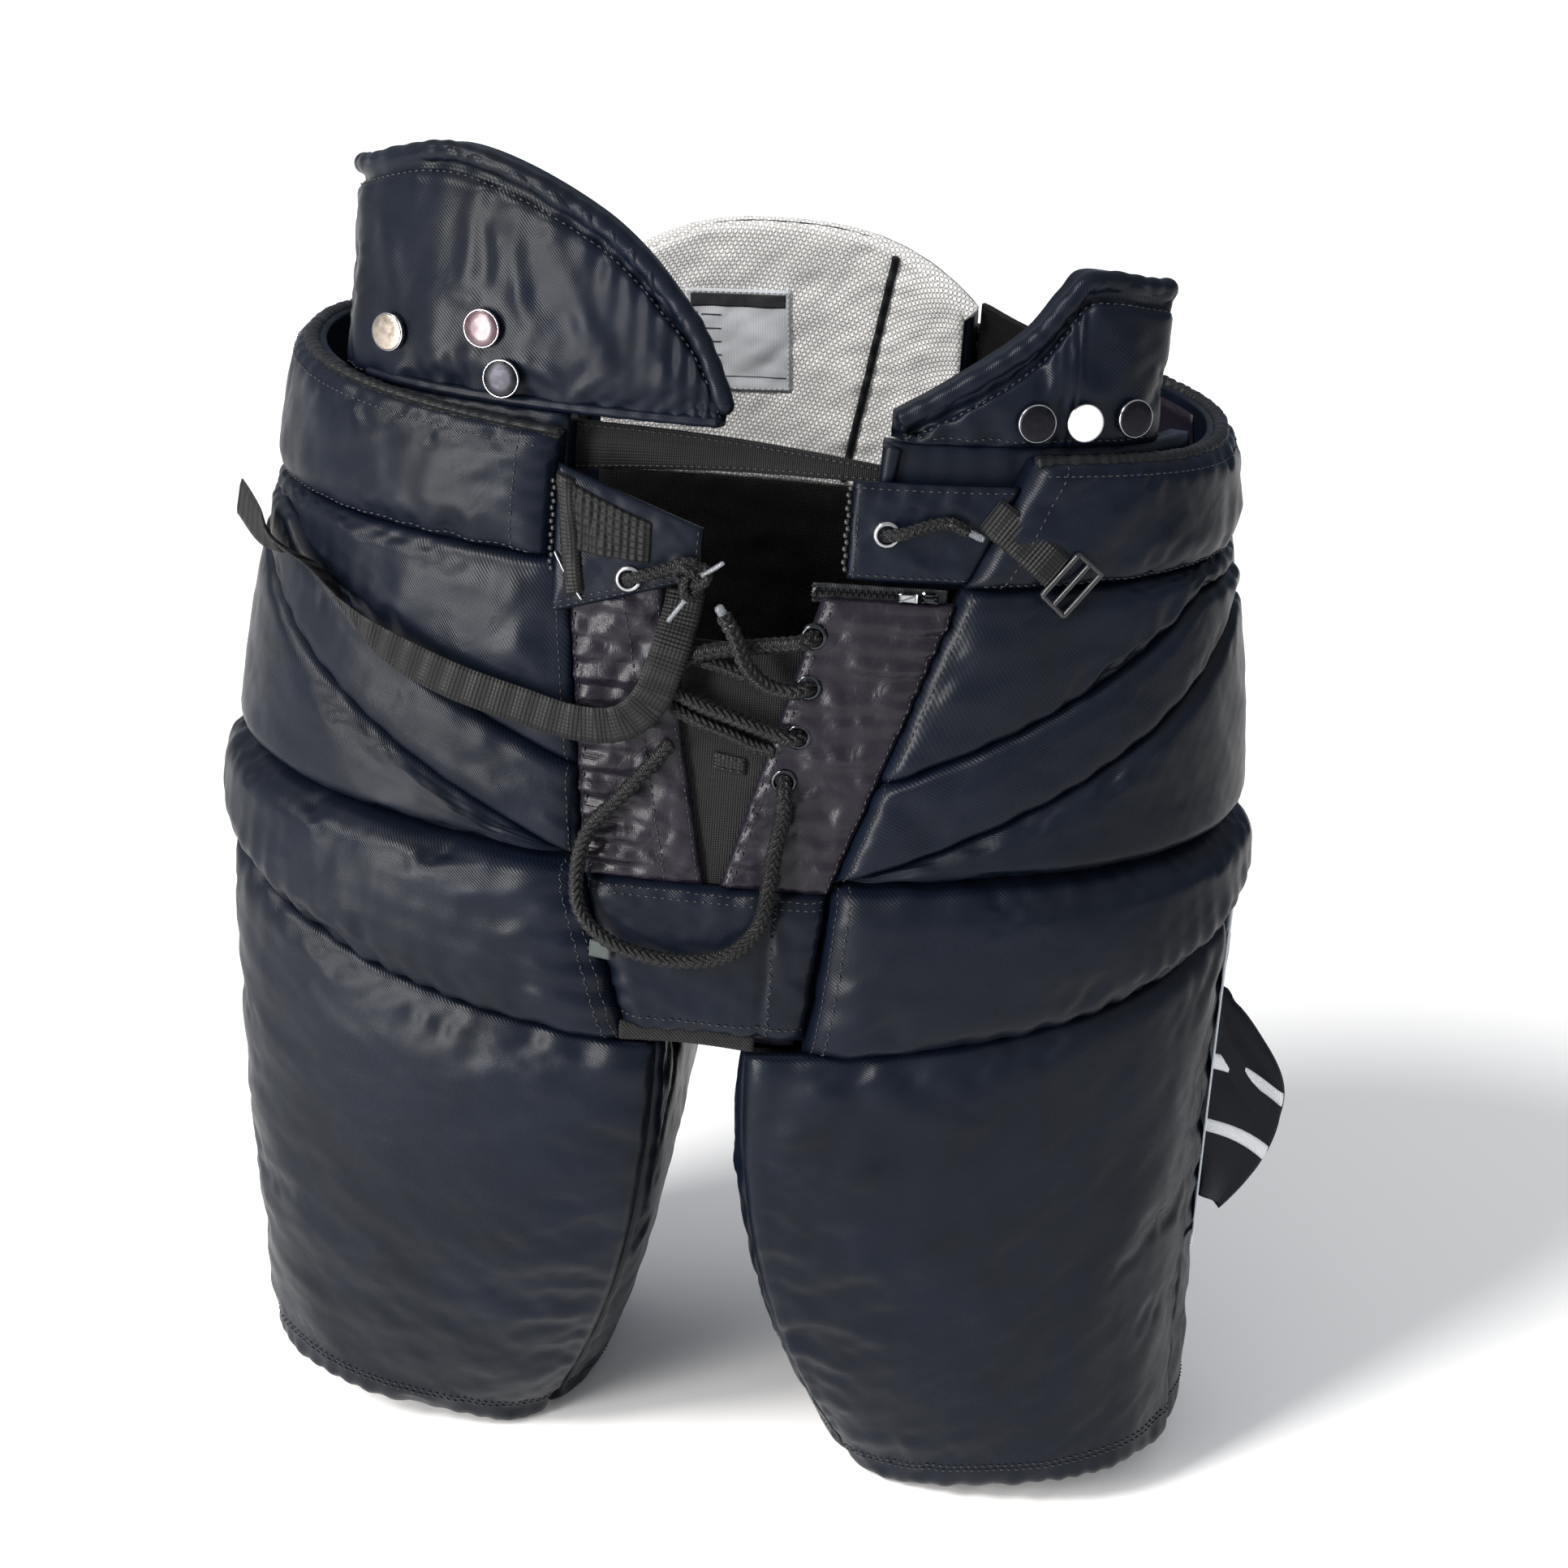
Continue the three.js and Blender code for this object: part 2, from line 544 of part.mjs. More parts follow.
// How far the thigh pad's edge reaches round the hem beside the inner panel.
const THIGH_TURN = 0.6 * THIGH_THICKNESS - 4.6;
function legPoint(leg, top, turn, share, offset) {
  const closeness = 1 - (1 - share) ** 2.2;
  const point = hemPoint(leg, turn, offset).lerp(top, closeness);
  point.z = lerp(hemHeight(turn), top.z, share);
  return point;
}
// Round the outside of the leg: 0 at the inner front edge and 1 at the inner back edge.
function outsidePoint(leg, round, share, offset) {
  const angle = leg.side * lerp(WALL_ANGLE, 180 - WALL_ANGLE, round);
  const top = bodyPoint(angle, legSeam(angle) - LAYER_GAP, offset);
  return legPoint(leg, top, lerp(WALL_TURN, 180 - WALL_TURN, round), share, offset);
}
function insidePoint(leg, round, share, offset) {
  const front = THIGH_THICKNESS + LAYER_GAP - HIP_HALF_DEPTH;
  const back = HIP_HALF_DEPTH - LEG_CLOTH - LAYER_GAP;
  const y = lerp(front, back, round);
  const top = new THREE.Vector3(leg.side * (INNER_WALL_X - offset), y, legSeam(0) - LAYER_GAP);
  const turn = lerp(WALL_TURN - THIGH_TURN, -180 - WALL_TURN + 1, round);
  return legPoint(leg, top, turn, share, offset);
}
for (const leg of legs) {
  const outside = (name, from, to, thickness, swell, columns, look) => {
    add(`${leg.name}_${name}`, slab(columns, 7, (u, v, w) => {
      const round = lerp(from, to, leg.side > 0 ? u : 1 - u);
      const outer = lerp(SHELL_EDGE, swell, puff(u, v));
      return outsidePoint(leg, round, v, lerp(-thickness, outer, w));
    }), look);
  };
  outside("thigh_pad", 0.004, 0.42, THIGH_THICKNESS, 3, 12, nylon);
  outside("leg_back_panel", 0.424, 0.996, LEG_CLOTH, 0, 12, nylon);
  add(`${leg.name}_leg_inner_panel`, slab(6, 5, (u, v, w) => {
    const round = leg.side > 0 ? 1 - u : u;
    return insidePoint(leg, round, v, lerp(-LEG_CLOTH, 0, w));
  }), nylon);
  add(`${leg.name}_thigh_plate`, slab(9, 5, (u, v, w) => {
    const round = lerp(0.07, 0.38, leg.side > 0 ? u : 1 - u);
    const inner = -THIGH_THICKNESS - 1.4 * LAYER_GAP - PLATE_THICKNESS;
    return outsidePoint(leg, round, lerp(0.2, 0.93, v), lerp(inner, inner + PLATE_THICKNESS, w));
  }), plate);
}

// Loose fold of the left leg's rear panel that stands away from the leg
add("left_rear_fold", slab(4, 4, (u, v, w) => {
  const root = outsidePoint(legs[1], 0.53, lerp(0.36, 0.75, v), 0);
  const reach = 52 * Math.sin(Math.PI * lerp(0.1, 0.95, v)) ** 0.8;
  const out = new THREE.Vector3(0.97, 0.24, 0);
  const thin = new THREE.Vector3(-0.24, 0.97, 0);
  return root
    .addScaledVector(out, u * reach)
    .addScaledVector(thin, lerp(CLOTH, 0, w))
    .add(new THREE.Vector3(0, 0, -14 * u * u));
}), thinNylon);

// The origin is the middle of the footprint of everything but the free cords.
const freeCords = ["fly_lace_end", "fly_lace_loop", "right_waist_lace", "left_waist_lace", "loose_strap"];
const box = new THREE.Box3();
for (const piece of group.children) {
  if (!freeCords.includes(piece.name)) box.expandByObject(piece);
}
const middle = box.getCenter(new THREE.Vector3());
for (const piece of group.children) piece.position.set(-middle.x, -middle.y, -box.min.z);

export default group;
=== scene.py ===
import math

import bpy
import numpy as np
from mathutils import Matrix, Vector


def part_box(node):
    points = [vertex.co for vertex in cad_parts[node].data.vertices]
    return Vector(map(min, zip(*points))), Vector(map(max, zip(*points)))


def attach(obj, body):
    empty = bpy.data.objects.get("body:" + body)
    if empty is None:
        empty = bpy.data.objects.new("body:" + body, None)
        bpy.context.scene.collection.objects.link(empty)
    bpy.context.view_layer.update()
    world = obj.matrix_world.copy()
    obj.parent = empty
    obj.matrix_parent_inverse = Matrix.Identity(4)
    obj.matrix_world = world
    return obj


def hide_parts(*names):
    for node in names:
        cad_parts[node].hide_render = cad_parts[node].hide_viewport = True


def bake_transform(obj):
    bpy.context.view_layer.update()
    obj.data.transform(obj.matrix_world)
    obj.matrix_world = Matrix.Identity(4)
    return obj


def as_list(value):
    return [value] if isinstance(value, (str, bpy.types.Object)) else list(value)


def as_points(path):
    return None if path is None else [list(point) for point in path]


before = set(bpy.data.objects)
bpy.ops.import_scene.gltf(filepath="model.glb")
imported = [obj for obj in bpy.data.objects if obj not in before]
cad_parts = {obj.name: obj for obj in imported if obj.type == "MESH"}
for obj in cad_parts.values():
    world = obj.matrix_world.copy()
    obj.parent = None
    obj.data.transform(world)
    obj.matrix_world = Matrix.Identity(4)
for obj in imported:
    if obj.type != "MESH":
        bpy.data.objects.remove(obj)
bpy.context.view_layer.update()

bl_info = {
    "name": "Padded hockey pants",
    "version": (1, 0, 0),
    "blender": (4, 5, 0),
    "location": "View3D > Sidebar > Hockey pants",
    "description": "Makes padded goalie-style hockey pants around their fixed frame",
    "category": "Add Mesh",
}

# ---------------------------------------------------------------- sizes, in millimetres
HIP_HALF_WIDTH, HIP_HALF_DEPTH = 288, 150
WAIST_HALF_WIDTH, WAIST_HALF_DEPTH = 252, 138
HIP_Z, WAIST_Z = 370, 637
SQUARENESS = 2.4
BELT_TOP_Z, BELT_BOTTOM_Z, CROTCH_Z = 624, 561, 297
PLACKET_OUTER = -3
FLAP_BASE_Z = 636
FLAP_LAYER = -19.3
BACK_LAYER = -30.1
STRAP_LAYER = -26.6
LACE, WAIST_LACE = 8.0, 6.6
TOOTH_PITCH = 1.55
HEM_HALF_DEPTH, HEM_RISE = 98, 30
INNER_WALL_X = 21
FLY_BOTTOM_Z, PLACKET_TOP_Z = CROTCH_Z + 98, BELT_BOTTOM_Z - 5
BELT_FRONTS = {-1: (96, 93), 1: (121, 150)}
SIDES = {-1: "right", 1: "left"}

# The frame's gusset is centred on the pants' own middle, so it gives their place.
gusset_low, gusset_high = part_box("crotch_gusset")
SHIFT = np.array([
    500 * (gusset_low[0] + gusset_high[0]),
    500 * (gusset_low[1] + gusset_high[1]) - 0.3,
    1000 * gusset_low[2] - CROTCH_Z - 3,
])


def metres(points):
    """The pants' own millimetres as metres of the frame."""
    return (np.asarray(points, float) + SHIFT) / 1000


def spot(point):
    return tuple(float(value) for value in metres(point))


# ---------------------------------------------------------------- the body's surface
def lerp(a, b, t):
    return a + (b - a) * t


def unit(way):
    """The same direction, one long."""
    return way / np.linalg.norm(way, axis=-1, keepdims=True)


def distances(line):
    """How far along the line each of its points lies."""
    return np.concatenate([[0], np.cumsum(np.linalg.norm(np.diff(line, axis=0), axis=1))])


def rounded(value):
    return np.sign(value) * np.abs(value) ** (2 / SQUARENESS)


def narrowing(z):
    return np.maximum(0, (z - HIP_Z) / (WAIST_Z - HIP_Z))


def half_width(z):
    return lerp(HIP_HALF_WIDTH, WAIST_HALF_WIDTH, narrowing(z))


def half_depth(z):
    return lerp(HIP_HALF_DEPTH, WAIST_HALF_DEPTH, narrowing(z))


def points_of(x, y, z):
    return np.stack(np.broadcast_arrays(*[np.asarray(c, float) for c in (x, y, z)]), -1)


def body_point(angle, z, offset):
    """A point of the body: the angle is 0 at the front and 90 at the wearer's left."""
    turn = np.radians(angle)
    z = np.asarray(z, float)
    return points_of(
        (half_width(z) + offset) * rounded(np.sin(turn)),
        -(half_depth(z) + offset) * rounded(np.cos(turn)),
        z,
    )


def angle_at(x, z, layer=0):
    share = np.minimum(0.999, np.abs(x) / (half_width(np.asarray(z, float)) + layer))
    return np.sign(x) * np.degrees(np.arcsin(share ** (SQUARENESS / 2)))


def front_point(x, z, offset, layer=0):
    return body_point(angle_at(x, z, layer), z, offset)


def back_point(x, z, offset, layer=0):
    return body_point(180 - angle_at(x, z, layer), z, offset)


def front_normal(x, z):
    edge = 0.98 * half_width(np.asarray(z, float)) - 2
    x = np.clip(x, -edge, edge)
    across = front_point(x + 2, z, 0) - front_point(x - 2, z, 0)
    up = front_point(x, z + 2, 0) - front_point(x, z - 2, 0)
    out = np.cross(across, up)
    return unit(out)


# ---------------------------------------------------------------- seams
def fold(angle):
    size = np.abs(angle)
    return np.where(size > 90, 180 - size, size)


def belt_top(angle, side=1):
    """The left side sits lower between its front end and the back."""
    across = np.clip((np.asarray(angle, float) * side - 20) / 150, 0, 1)
    return BELT_TOP_Z + 0.25 * np.minimum(90, np.abs(angle)) - 15 * np.sin(math.pi * across) ** 2


def belt_bottom(angle):
    return BELT_BOTTOM_Z + 0.15 * fold(angle)


FLY_ANGLE = float(angle_at(66, FLY_BOTTOM_Z))


def upper_seam(angle):
    return np.minimum(BELT_BOTTOM_Z - 101 + 1.95 * (fold(angle) - FLY_ANGLE - 5.8), belt_bottom(angle) - 14)


def middle_seam(angle):
    return np.minimum(CROTCH_Z + 112 + 2.02 * (fold(angle) - FLY_ANGLE - 4.2), upper_seam(angle) - 16)


def lower_seam(angle):
    return CROTCH_Z + 100 + 0.32 * fold(angle)


def leg_seam(angle):
    return CROTCH_Z + 95 * (fold(angle) / 90) ** 1.5


def fly_seam(side, z):
    rise = np.asarray(z, float) - FLY_BOTTOM_Z
    if side > 0:
        return 64 + np.where(rise > 0, 0.34, 0.08) * rise
    return 68 + np.where(rise > 0, 0.1, 0.3) * rise


def fly_edge(side, z):
    rise = z - FLY_BOTTOM_Z
    return 6 + 0.27 * rise if side > 0 else 3 + 0.2 * rise


def belt_front(side, z):
    bottom, top = BELT_FRONTS[side]
    return lerp(bottom, top, (z - BELT_BOTTOM_Z) / (BELT_TOP_Z - BELT_BOTTOM_Z))


def back_pad_top(x, half_span):
    return 702 - 40 * np.abs(x / half_span) ** 2.6


# ---------------------------------------------------------------- legs
LEGS = {
    -1: {"side": -1, "hem_x": 167, "hem_y": 18, "hem_half": 98},
    1: {"side": 1, "hem_x": 185, "hem_y": -2, "hem_half": 105},
}
WALL_ANGLE = float(angle_at(INNER_WALL_X, CROTCH_Z))
WALL_TURN = -50


def hem_height(turn):
    return HEM_RISE * np.maximum(0, np.sin(np.radians((turn + 30) * 0.857)))


def leg_point(leg, top, turn, share, offset):
    """Down the leg from its seam on the body to its oval hem."""
    swing = np.radians(turn)
    hem = points_of(
        leg["side"] * (leg["hem_x"] + (leg["hem_half"] + offset) * rounded(np.sin(swing))),
        leg["hem_y"] - (HEM_HALF_DEPTH + offset) * rounded(np.cos(swing)),
        0,
    )
    closeness = (1 - (1 - share) ** 2.2)[..., None]
    point = lerp(hem, top, closeness)
    point[..., 2] = lerp(hem_height(turn), top[..., 2], share)
    return point


def outside_point(leg, around, share, offset):
    """Round the outside of a leg: 0 is its inner front edge and 1 its inner back edge."""
    around, share, offset = np.broadcast_arrays(*[np.asarray(v, float) for v in (around, share, offset)])
    angle = leg["side"] * lerp(WALL_ANGLE, 180 - WALL_ANGLE, around)
    top = body_point(angle, leg_seam(angle) - 0.8, offset)
    return leg_point(leg, top, lerp(WALL_TURN, 180 - WALL_TURN, around), share, offset)


def inside_point(leg, around, share, offset):
    around, share, offset = np.broadcast_arrays(*[np.asarray(v, float) for v in (around, share, offset)])
    y = lerp(16.8 - HIP_HALF_DEPTH, HIP_HALF_DEPTH - 8.8, around)
    top = points_of(leg["side"] * (INNER_WALL_X - offset), y, leg_seam(0) - 0.8)
    turn = lerp(WALL_TURN - 5, -180 - WALL_TURN + 1, around)
    return leg_point(leg, top, turn, share, offset)


# ---------------------------------------------------------------- uneven cloth
def uneven(points, size, seed):
    """Smooth bumps between -1 and 1, about one in each `size` millimetres."""
    chance = np.random.default_rng(seed)
    total = np.zeros(points.shape[:-1])
    last = 0
    for step in range(6):
        way = chance.normal(size=3)
        way *= 2 * math.pi / size * (0.55 + 0.22 * step) / np.linalg.norm(way)
        last = np.sin(points @ way + chance.uniform(0, 6.28) + 0.9 * last)
        total = total + last
    return total / 3.4


def puckers(along, away, height, pitch, reach, seed):
    """The gathers that a seam pulls into the cloth beside it."""
    sway = 1.4 * np.sin(along / 37 + seed) + 0.9 * np.sin(along / 17 + 2 * seed)
    strength = 0.55 + 0.45 * np.sin(along / 53 + 3 * seed)
    return height * strength * np.exp(-away / reach) * np.sin(2 * math.pi * along / pitch + sway)


def crease(points, start, end, width, height, bow=0, axes=(0, 2)):
    """One soft fold of the cloth from start to end, raised where height is positive."""
    flat = points[..., list(axes)]
    start, end = np.asarray(start, float), np.asarray(end, float)
    along = end - start
    length = np.linalg.norm(along)
    along /= length
    side = np.array([-along[1], along[0]])
    share = (flat - start) @ along / length
    away = (flat - start) @ side - bow * np.sin(math.pi * np.clip(share, 0, 1))
    inside = np.clip(np.minimum(share, 1 - share) * 3.2, 0, 1)
    taper = inside * inside * (3 - 2 * inside)
    return height * taper * np.exp(-((away / width) ** 2))


def drape(points, folds, axes=(0, 2)):
    """Several folds, each a ridge with a shallow valley beside it."""
    total = np.zeros(points.shape[:-1])
    for start, end, width, height, bow in folds:
        total += crease(points, start, end, width, height, bow, axes)
        total -= crease(points, start, end, 2.6 * width, 0.45 * height, bow, axes)
    return total


# ---------------------------------------------------------------- meshes
def keep(name, mesh, material, body):
    """Puts a finished mesh in the scene, on its body, and over the node that has its name."""
    piece = bpy.data.objects.new(name, mesh)
    bpy.context.scene.collection.objects.link(piece)
    for look in material if isinstance(material, (list, tuple)) else [material]:
        mesh.materials.append(look)
    if body:
        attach(piece, body)
    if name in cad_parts:
        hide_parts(name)
    return piece


def mesh_of(name, points, faces, uvs=None, looks=None, flat=False):
    """A mesh from millimetre points; uvs are in metres along the cloth."""
    mesh = bpy.data.meshes.new(name)
    mesh.from_pydata(metres(points).tolist(), [], faces)
    if uvs is not None:
        layer = mesh.uv_layers.new(name="cloth")
        corners = np.empty(len(mesh.loops), np.int32)
        mesh.loops.foreach_get("vertex_index", corners)
        layer.uv.foreach_set("vector", np.asarray(uvs, np.float32)[corners].ravel())
    if looks is not None:
        mesh.polygons.foreach_set("material_index", looks)
    if not flat:
        mesh.polygons.foreach_set("use_smooth", [True] * len(mesh.polygons))
    mesh.update()
    return mesh


class Mould:
    """Gathers several closed shapes into one mesh."""

    def __init__(self):
        self.points, self.faces, self.uvs, self.looks = [], [], [], []
        self.count = 0

    def add(self, points, faces, uvs=None, look=0):
        points = np.asarray(points, float)
        self.points.append(points)
        self.faces += [tuple(int(i) + self.count for i in face) for face in faces]
        self.uvs.append(np.zeros((len(points), 2)) if uvs is None else np.asarray(uvs, float))
        self.looks += [look] * len(faces)
        self.count += len(points)
        return self

    def keep(self, name, material, body="torso", slot="satin_nylon", flat=False):
        points, uvs = np.concatenate(self.points), np.concatenate(self.uvs)
        mesh = mesh_of(name, points, self.faces, uvs, self.looks, flat)
        return keep(name, mesh, material, body)


def grid_faces(columns, rows, first=0, flip=False):
    i, j = np.meshgrid(np.arange(columns), np.arange(rows))
    a = (first + j * (columns + 1) + i).ravel()
    quads = np.stack([a, a + 1, a + columns + 2, a + columns + 1], 1)
    return (quads[:, ::-1] if flip else quads).tolist()


def rim_faces(columns, rows, far):
    """Joins the border of a grid to the border of its twin, `far` vertices later."""
    wide = columns + 1
    loop = list(range(wide))
    loop += [wide * j + columns for j in range(1, rows + 1)]
    loop += [wide * rows + i for i in range(columns - 1, -1, -1)]
    loop += [wide * j for j in range(rows - 1, 0, -1)]
    ring = loop + loop[:1]
    return [(b, a, a + far, b + far) for a, b in zip(ring, ring[1:])]


def spread(values, rows, columns):
    """A coarse grid of moves, drawn smoothly on a finer grid."""
    def along(data, count):
        size = len(data)
        at = np.linspace(0, size - 1, count)
        low = np.clip(np.floor(at).astype(int), 0, size - 2)
        t = (at - low)[:, None, None]
        a, b, c, d = (data[np.clip(low + k, 0, size - 1)] for k in (-1, 0, 1, 2))
        return b + 0.5 * t * (c - a + t * (2 * a - 5 * b + 4 * c - d + t * (3 * (b - c) + d - a)))
    tall = along(values, rows)
    return along(tall.transpose(1, 0, 2), columns).transpose(1, 0, 2)


class Panel:
    """A closed sewn panel. place(u, v, offset) gives its surface, u towards the wearer's left
    at the front and v up. Its outer face swells between seams that lie lower than it."""

    def __init__(self, name, place, inner, swell, seams=(-3,) * 4, bend=20, step=3.2, relief=None):
        self.name, self.place, self.inner, self.swell = name, place, inner, swell
        self.seams = seams
        self.bend = bend if isinstance(bend, tuple) else (bend,) * 4
        self.step, self.relief = step, relief
        self.moved = None
        grid = np.linspace(0, 1, 33)
        u, v = np.meshgrid(grid, grid)
        probe = place(u, v, 0 * u)
        self.grid = grid
        self.widths = np.linalg.norm(np.diff(probe, axis=1), axis=2).sum(1)
        self.heights = np.linalg.norm(np.diff(probe, axis=0), axis=2).sum(0)

    def cells(self, step):
        return max(6, round(self.widths.max() / step)), max(4, round(self.heights.max() / step))

    def measures(self, u, v):
        wide = np.interp(v, self.grid, self.widths)
        tall = np.interp(u, self.grid, self.heights)
        return v * tall, (1 - v) * tall, u * wide, (1 - u) * wide

    def rim(self, u, v, reach):
        """0 on the panel's border, rising to 1 at the reach inside it."""
        return np.clip(np.minimum.reduce(self.measures(u, v)) / reach, 0, 1)

    def outer(self, u, v):
        height = np.full(u.shape, float(self.swell))
        for away, seam, bend in zip(self.measures(u, v), self.seams, self.bend):
            fall = 1 - np.clip(away / bend, 0, 1)
            height -= (self.swell - seam) * (1 - np.sqrt(1 - fall * fall))
        return np.maximum(height, min(self.seams) - 1)

    def coarse(self, step):
        columns, rows = self.cells(step)
        u, v = np.meshgrid(np.linspace(0, 1, columns + 1), np.linspace(0, 1, rows + 1))
        return self.place(u, v, self.outer(u, v)), columns, rows

    def build(self):
        columns, rows = self.cells(self.step)
        u, v = np.meshgrid(np.linspace(0, 1, columns + 1), np.linspace(0, 1, rows + 1))
        face = self.place(u, v, self.outer(u, v))
        if self.moved is not None:
            face = face + spread(self.moved, rows + 1, columns + 1)
        self.face = face
        self.normal = self.normals(face)
        if self.relief:
            face = face + self.normal * self.relief(self, u, v, face)[..., None]
            self.face = face
            self.normal = self.normals(face)
        self.back = self.place(u, v, np.full(u.shape, float(self.inner)))
        count = u.size
        points = np.concatenate([face.reshape(-1, 3), self.back.reshape(-1, 3)])
        size = np.stack([u * self.widths.mean(), v * self.heights.mean()], -1).reshape(-1, 2) / 1000
        faces = grid_faces(columns, rows) + grid_faces(columns, rows, count, True) + rim_faces(columns, rows, count)
        return points, faces, np.concatenate([size, size])

    @staticmethod
    def normals(face):
        across = np.gradient(face, axis=1)
        up = np.gradient(face, axis=0)
        out = np.cross(across, up)
        return out / np.maximum(np.linalg.norm(out, axis=-1, keepdims=True), 1e-9)

    def at(self, u, v):
        """Points and outward directions of the finished outer face."""
        u, v = np.broadcast_arrays(np.asarray(u, float), np.asarray(v, float))
        rows, columns = self.face.shape[0] - 1, self.face.shape[1] - 1
        x, y = np.clip(u, 0, 1) * columns, np.clip(v, 0, 1) * rows
        i, j = np.minimum(x.astype(int), columns - 1), np.minimum(y.astype(int), rows - 1)
        s, t = (x - i)[..., None], (y - j)[..., None]
        def mix(data):
            return lerp(lerp(data[j, i], data[j, i + 1], s), lerp(data[j + 1, i], data[j + 1, i + 1], s), t)
        return mix(self.face), mix(self.normal)

    def piece(self, material, body="torso", slot="satin_nylon", padded=None):
        points, faces, uvs = self.build()
        made = keep(self.name, mesh_of(self.name, points, faces, uvs), material, body)
        return made


def fill_out(panels, pressure, slack, cap, step=6.5, frames=18):
    """Blows the panels out between their seams as stuffed cloth, with a cloth simulation."""
    scene = bpy.context.scene
    stuffed = []
    for panel in panels:
        face, columns, rows = panel.coarse(step)
        mesh = bpy.data.meshes.new("stuffed")
        mesh.from_pydata((face.reshape(-1, 3) / 1000).tolist(), [], grid_faces(columns, rows))
        cloth = bpy.data.objects.new("stuffed", mesh)
        scene.collection.objects.link(cloth)
        seam = cloth.vertex_groups.new(name="seam")
        ids = np.arange(face.shape[0] * face.shape[1]).reshape(rows + 1, columns + 1)
        border = np.concatenate([ids[0], ids[-1], ids[:, 0], ids[:, -1]])
        seam.add([int(i) for i in np.unique(border)], 1.0, "REPLACE")
        sim = cloth.modifiers.new("Cloth", "CLOTH")
        settings = sim.settings
        settings.quality = 6
        settings.mass = 0.25
        settings.tension_stiffness = settings.compression_stiffness = 12
        settings.shear_stiffness = 6
        settings.bending_stiffness = 0.35
        settings.air_damping = 3
        settings.use_pressure = True
        settings.uniform_pressure_force = pressure
        settings.shrink_min = -slack
        settings.shrink_max = -slack
        settings.vertex_group_mass = "seam"
        settings.effector_weights.gravity = 0
        sim.collision_settings.use_collision = False
        sim.point_cache.frame_start, sim.point_cache.frame_end = 1, frames
        stuffed.append((panel, cloth, face))
    for number in range(1, frames + 1):
        scene.frame_set(number)
    graph = bpy.context.evaluated_depsgraph_get()
    for panel, cloth, face in stuffed:
        result = cloth.evaluated_get(graph).data
        flat = np.empty(3 * len(result.vertices))
        result.vertices.foreach_get("co", flat)
        move = flat.reshape(face.shape) * 1000 - face
        size = np.linalg.norm(move, axis=-1, keepdims=True)
        panel.moved = move * np.minimum(1, cap / np.maximum(size, 1e-6))
    for panel, cloth, face in stuffed:
        mesh = cloth.data
        bpy.data.objects.remove(cloth)
        bpy.data.meshes.remove(mesh)
    scene.frame_set(1)


# ---------------------------------------------------------------- runs along a line
def smooth_line(points, count):
    """An even line through the points, without overshoot where they lie close together."""
    points = np.asarray(points, float)
    points = np.vstack([2 * points[0] - points[1], points, 2 * points[-1] - points[-2]])
    line = []
    for a, b, c, d in zip(points, points[1:], points[2:], points[3:]):
        ta, tb, tc = (max(np.linalg.norm(q - p) ** 0.5, 1e-4) for p, q in ((a, b), (b, c), (c, d)))
        m1 = (b - a) / ta - (c - a) / (ta + tb) + (c - b) / tb
        m2 = (c - b) / tb - (d - b) / (tb + tc) + (d - c) / tc
        m1, m2 = m1 * tb, m2 * tb
        t = np.linspace(0, 1, 24, endpoint=False)[:, None]
        line.append(b + m1 * t + (3 * (c - b) - 2 * m1 - m2) * t * t + (2 * (b - c) + m1 + m2) * t ** 3)
    line = np.vstack(line + [points[-2:-1]])
    return even_line(line, count)


def even_line(line, count):
    far = distances(line)
    at = np.linspace(0, far[-1], count)
    return np.stack([np.interp(at, far, line[:, k]) for k in range(line.shape[1])], 1)


def line_length(line):
    return float(np.linalg.norm(np.diff(line[:, :3], axis=0), axis=1).sum())


def frames_along(line, up=None):
    """A pair of directions across the line at each of its points, turning as little as they can."""
    way = np.gradient(line, axis=0)
    way = unit(way)
    first = np.array([0.0, 0.0, 1.0]) if up is None else np.asarray(up, float)
    if abs(first @ way[0]) > 0.95:
        first = np.array([1.0, 0.0, 0.0])
    side = []
    last = first
    for direction in way:
        last = last - direction * (last @ direction)
        last = unit(last)
        side.append(last)
    side = np.array(side)
    return way, side, np.cross(way, side)


def rod(mould, line, radius, sides=12, height=None, look=0, squash=1.0, up=None, ends=True):
    """A round run along a line. radius may differ along it; height(theta, far) adds to it."""
    line = np.asarray(line, float)
    way, side, other = frames_along(line, up)
    theta = np.linspace(0, 2 * math.pi, sides, endpoint=False)
    far = distances(line)
    size = np.broadcast_to(np.asarray(radius, float), (len(line),))[:, None] + np.zeros(sides)
    if height is not None:
        size = size + height(theta[None, :], far[:, None])
    ring = (
        side[:, None, :] * (np.cos(theta)[None, :, None] * squash)
        + other[:, None, :] * np.sin(theta)[None, :, None])
    points = (line[:, None, :] + ring * size[..., None]).reshape(-1, 3)
    uvs = np.stack(
        np.broadcast_arrays(theta[None, :] * float(np.mean(size)) / 1000, far[:, None] / 1000), -1).reshape(-1, 2)
    faces = []
    for j in range(len(line) - 1):
        for i in range(sides):
            k = (i + 1) % sides
            faces.append((j * sides + i, j * sides + k, (j + 1) * sides + k, (j + 1) * sides + i))
    if ends:
        extra = []
        for at, sign in ((0, -1), (len(line) - 1, 1)):
            middle = line[at] + sign * way[at] * 0.25 * size[at].mean()
            number = len(points) + len(extra)
            extra.append(middle)
            for i in range(sides):
                k = (i + 1) % sides
                edge = (at * sides + i, at * sides + k, number)
                faces.append(edge if sign > 0 else edge[::-1])
        points = np.vstack([points, extra])
        uvs = np.vstack([uvs, uvs[:1], uvs[-1:]])
    mould.add(points, faces, uvs, look)


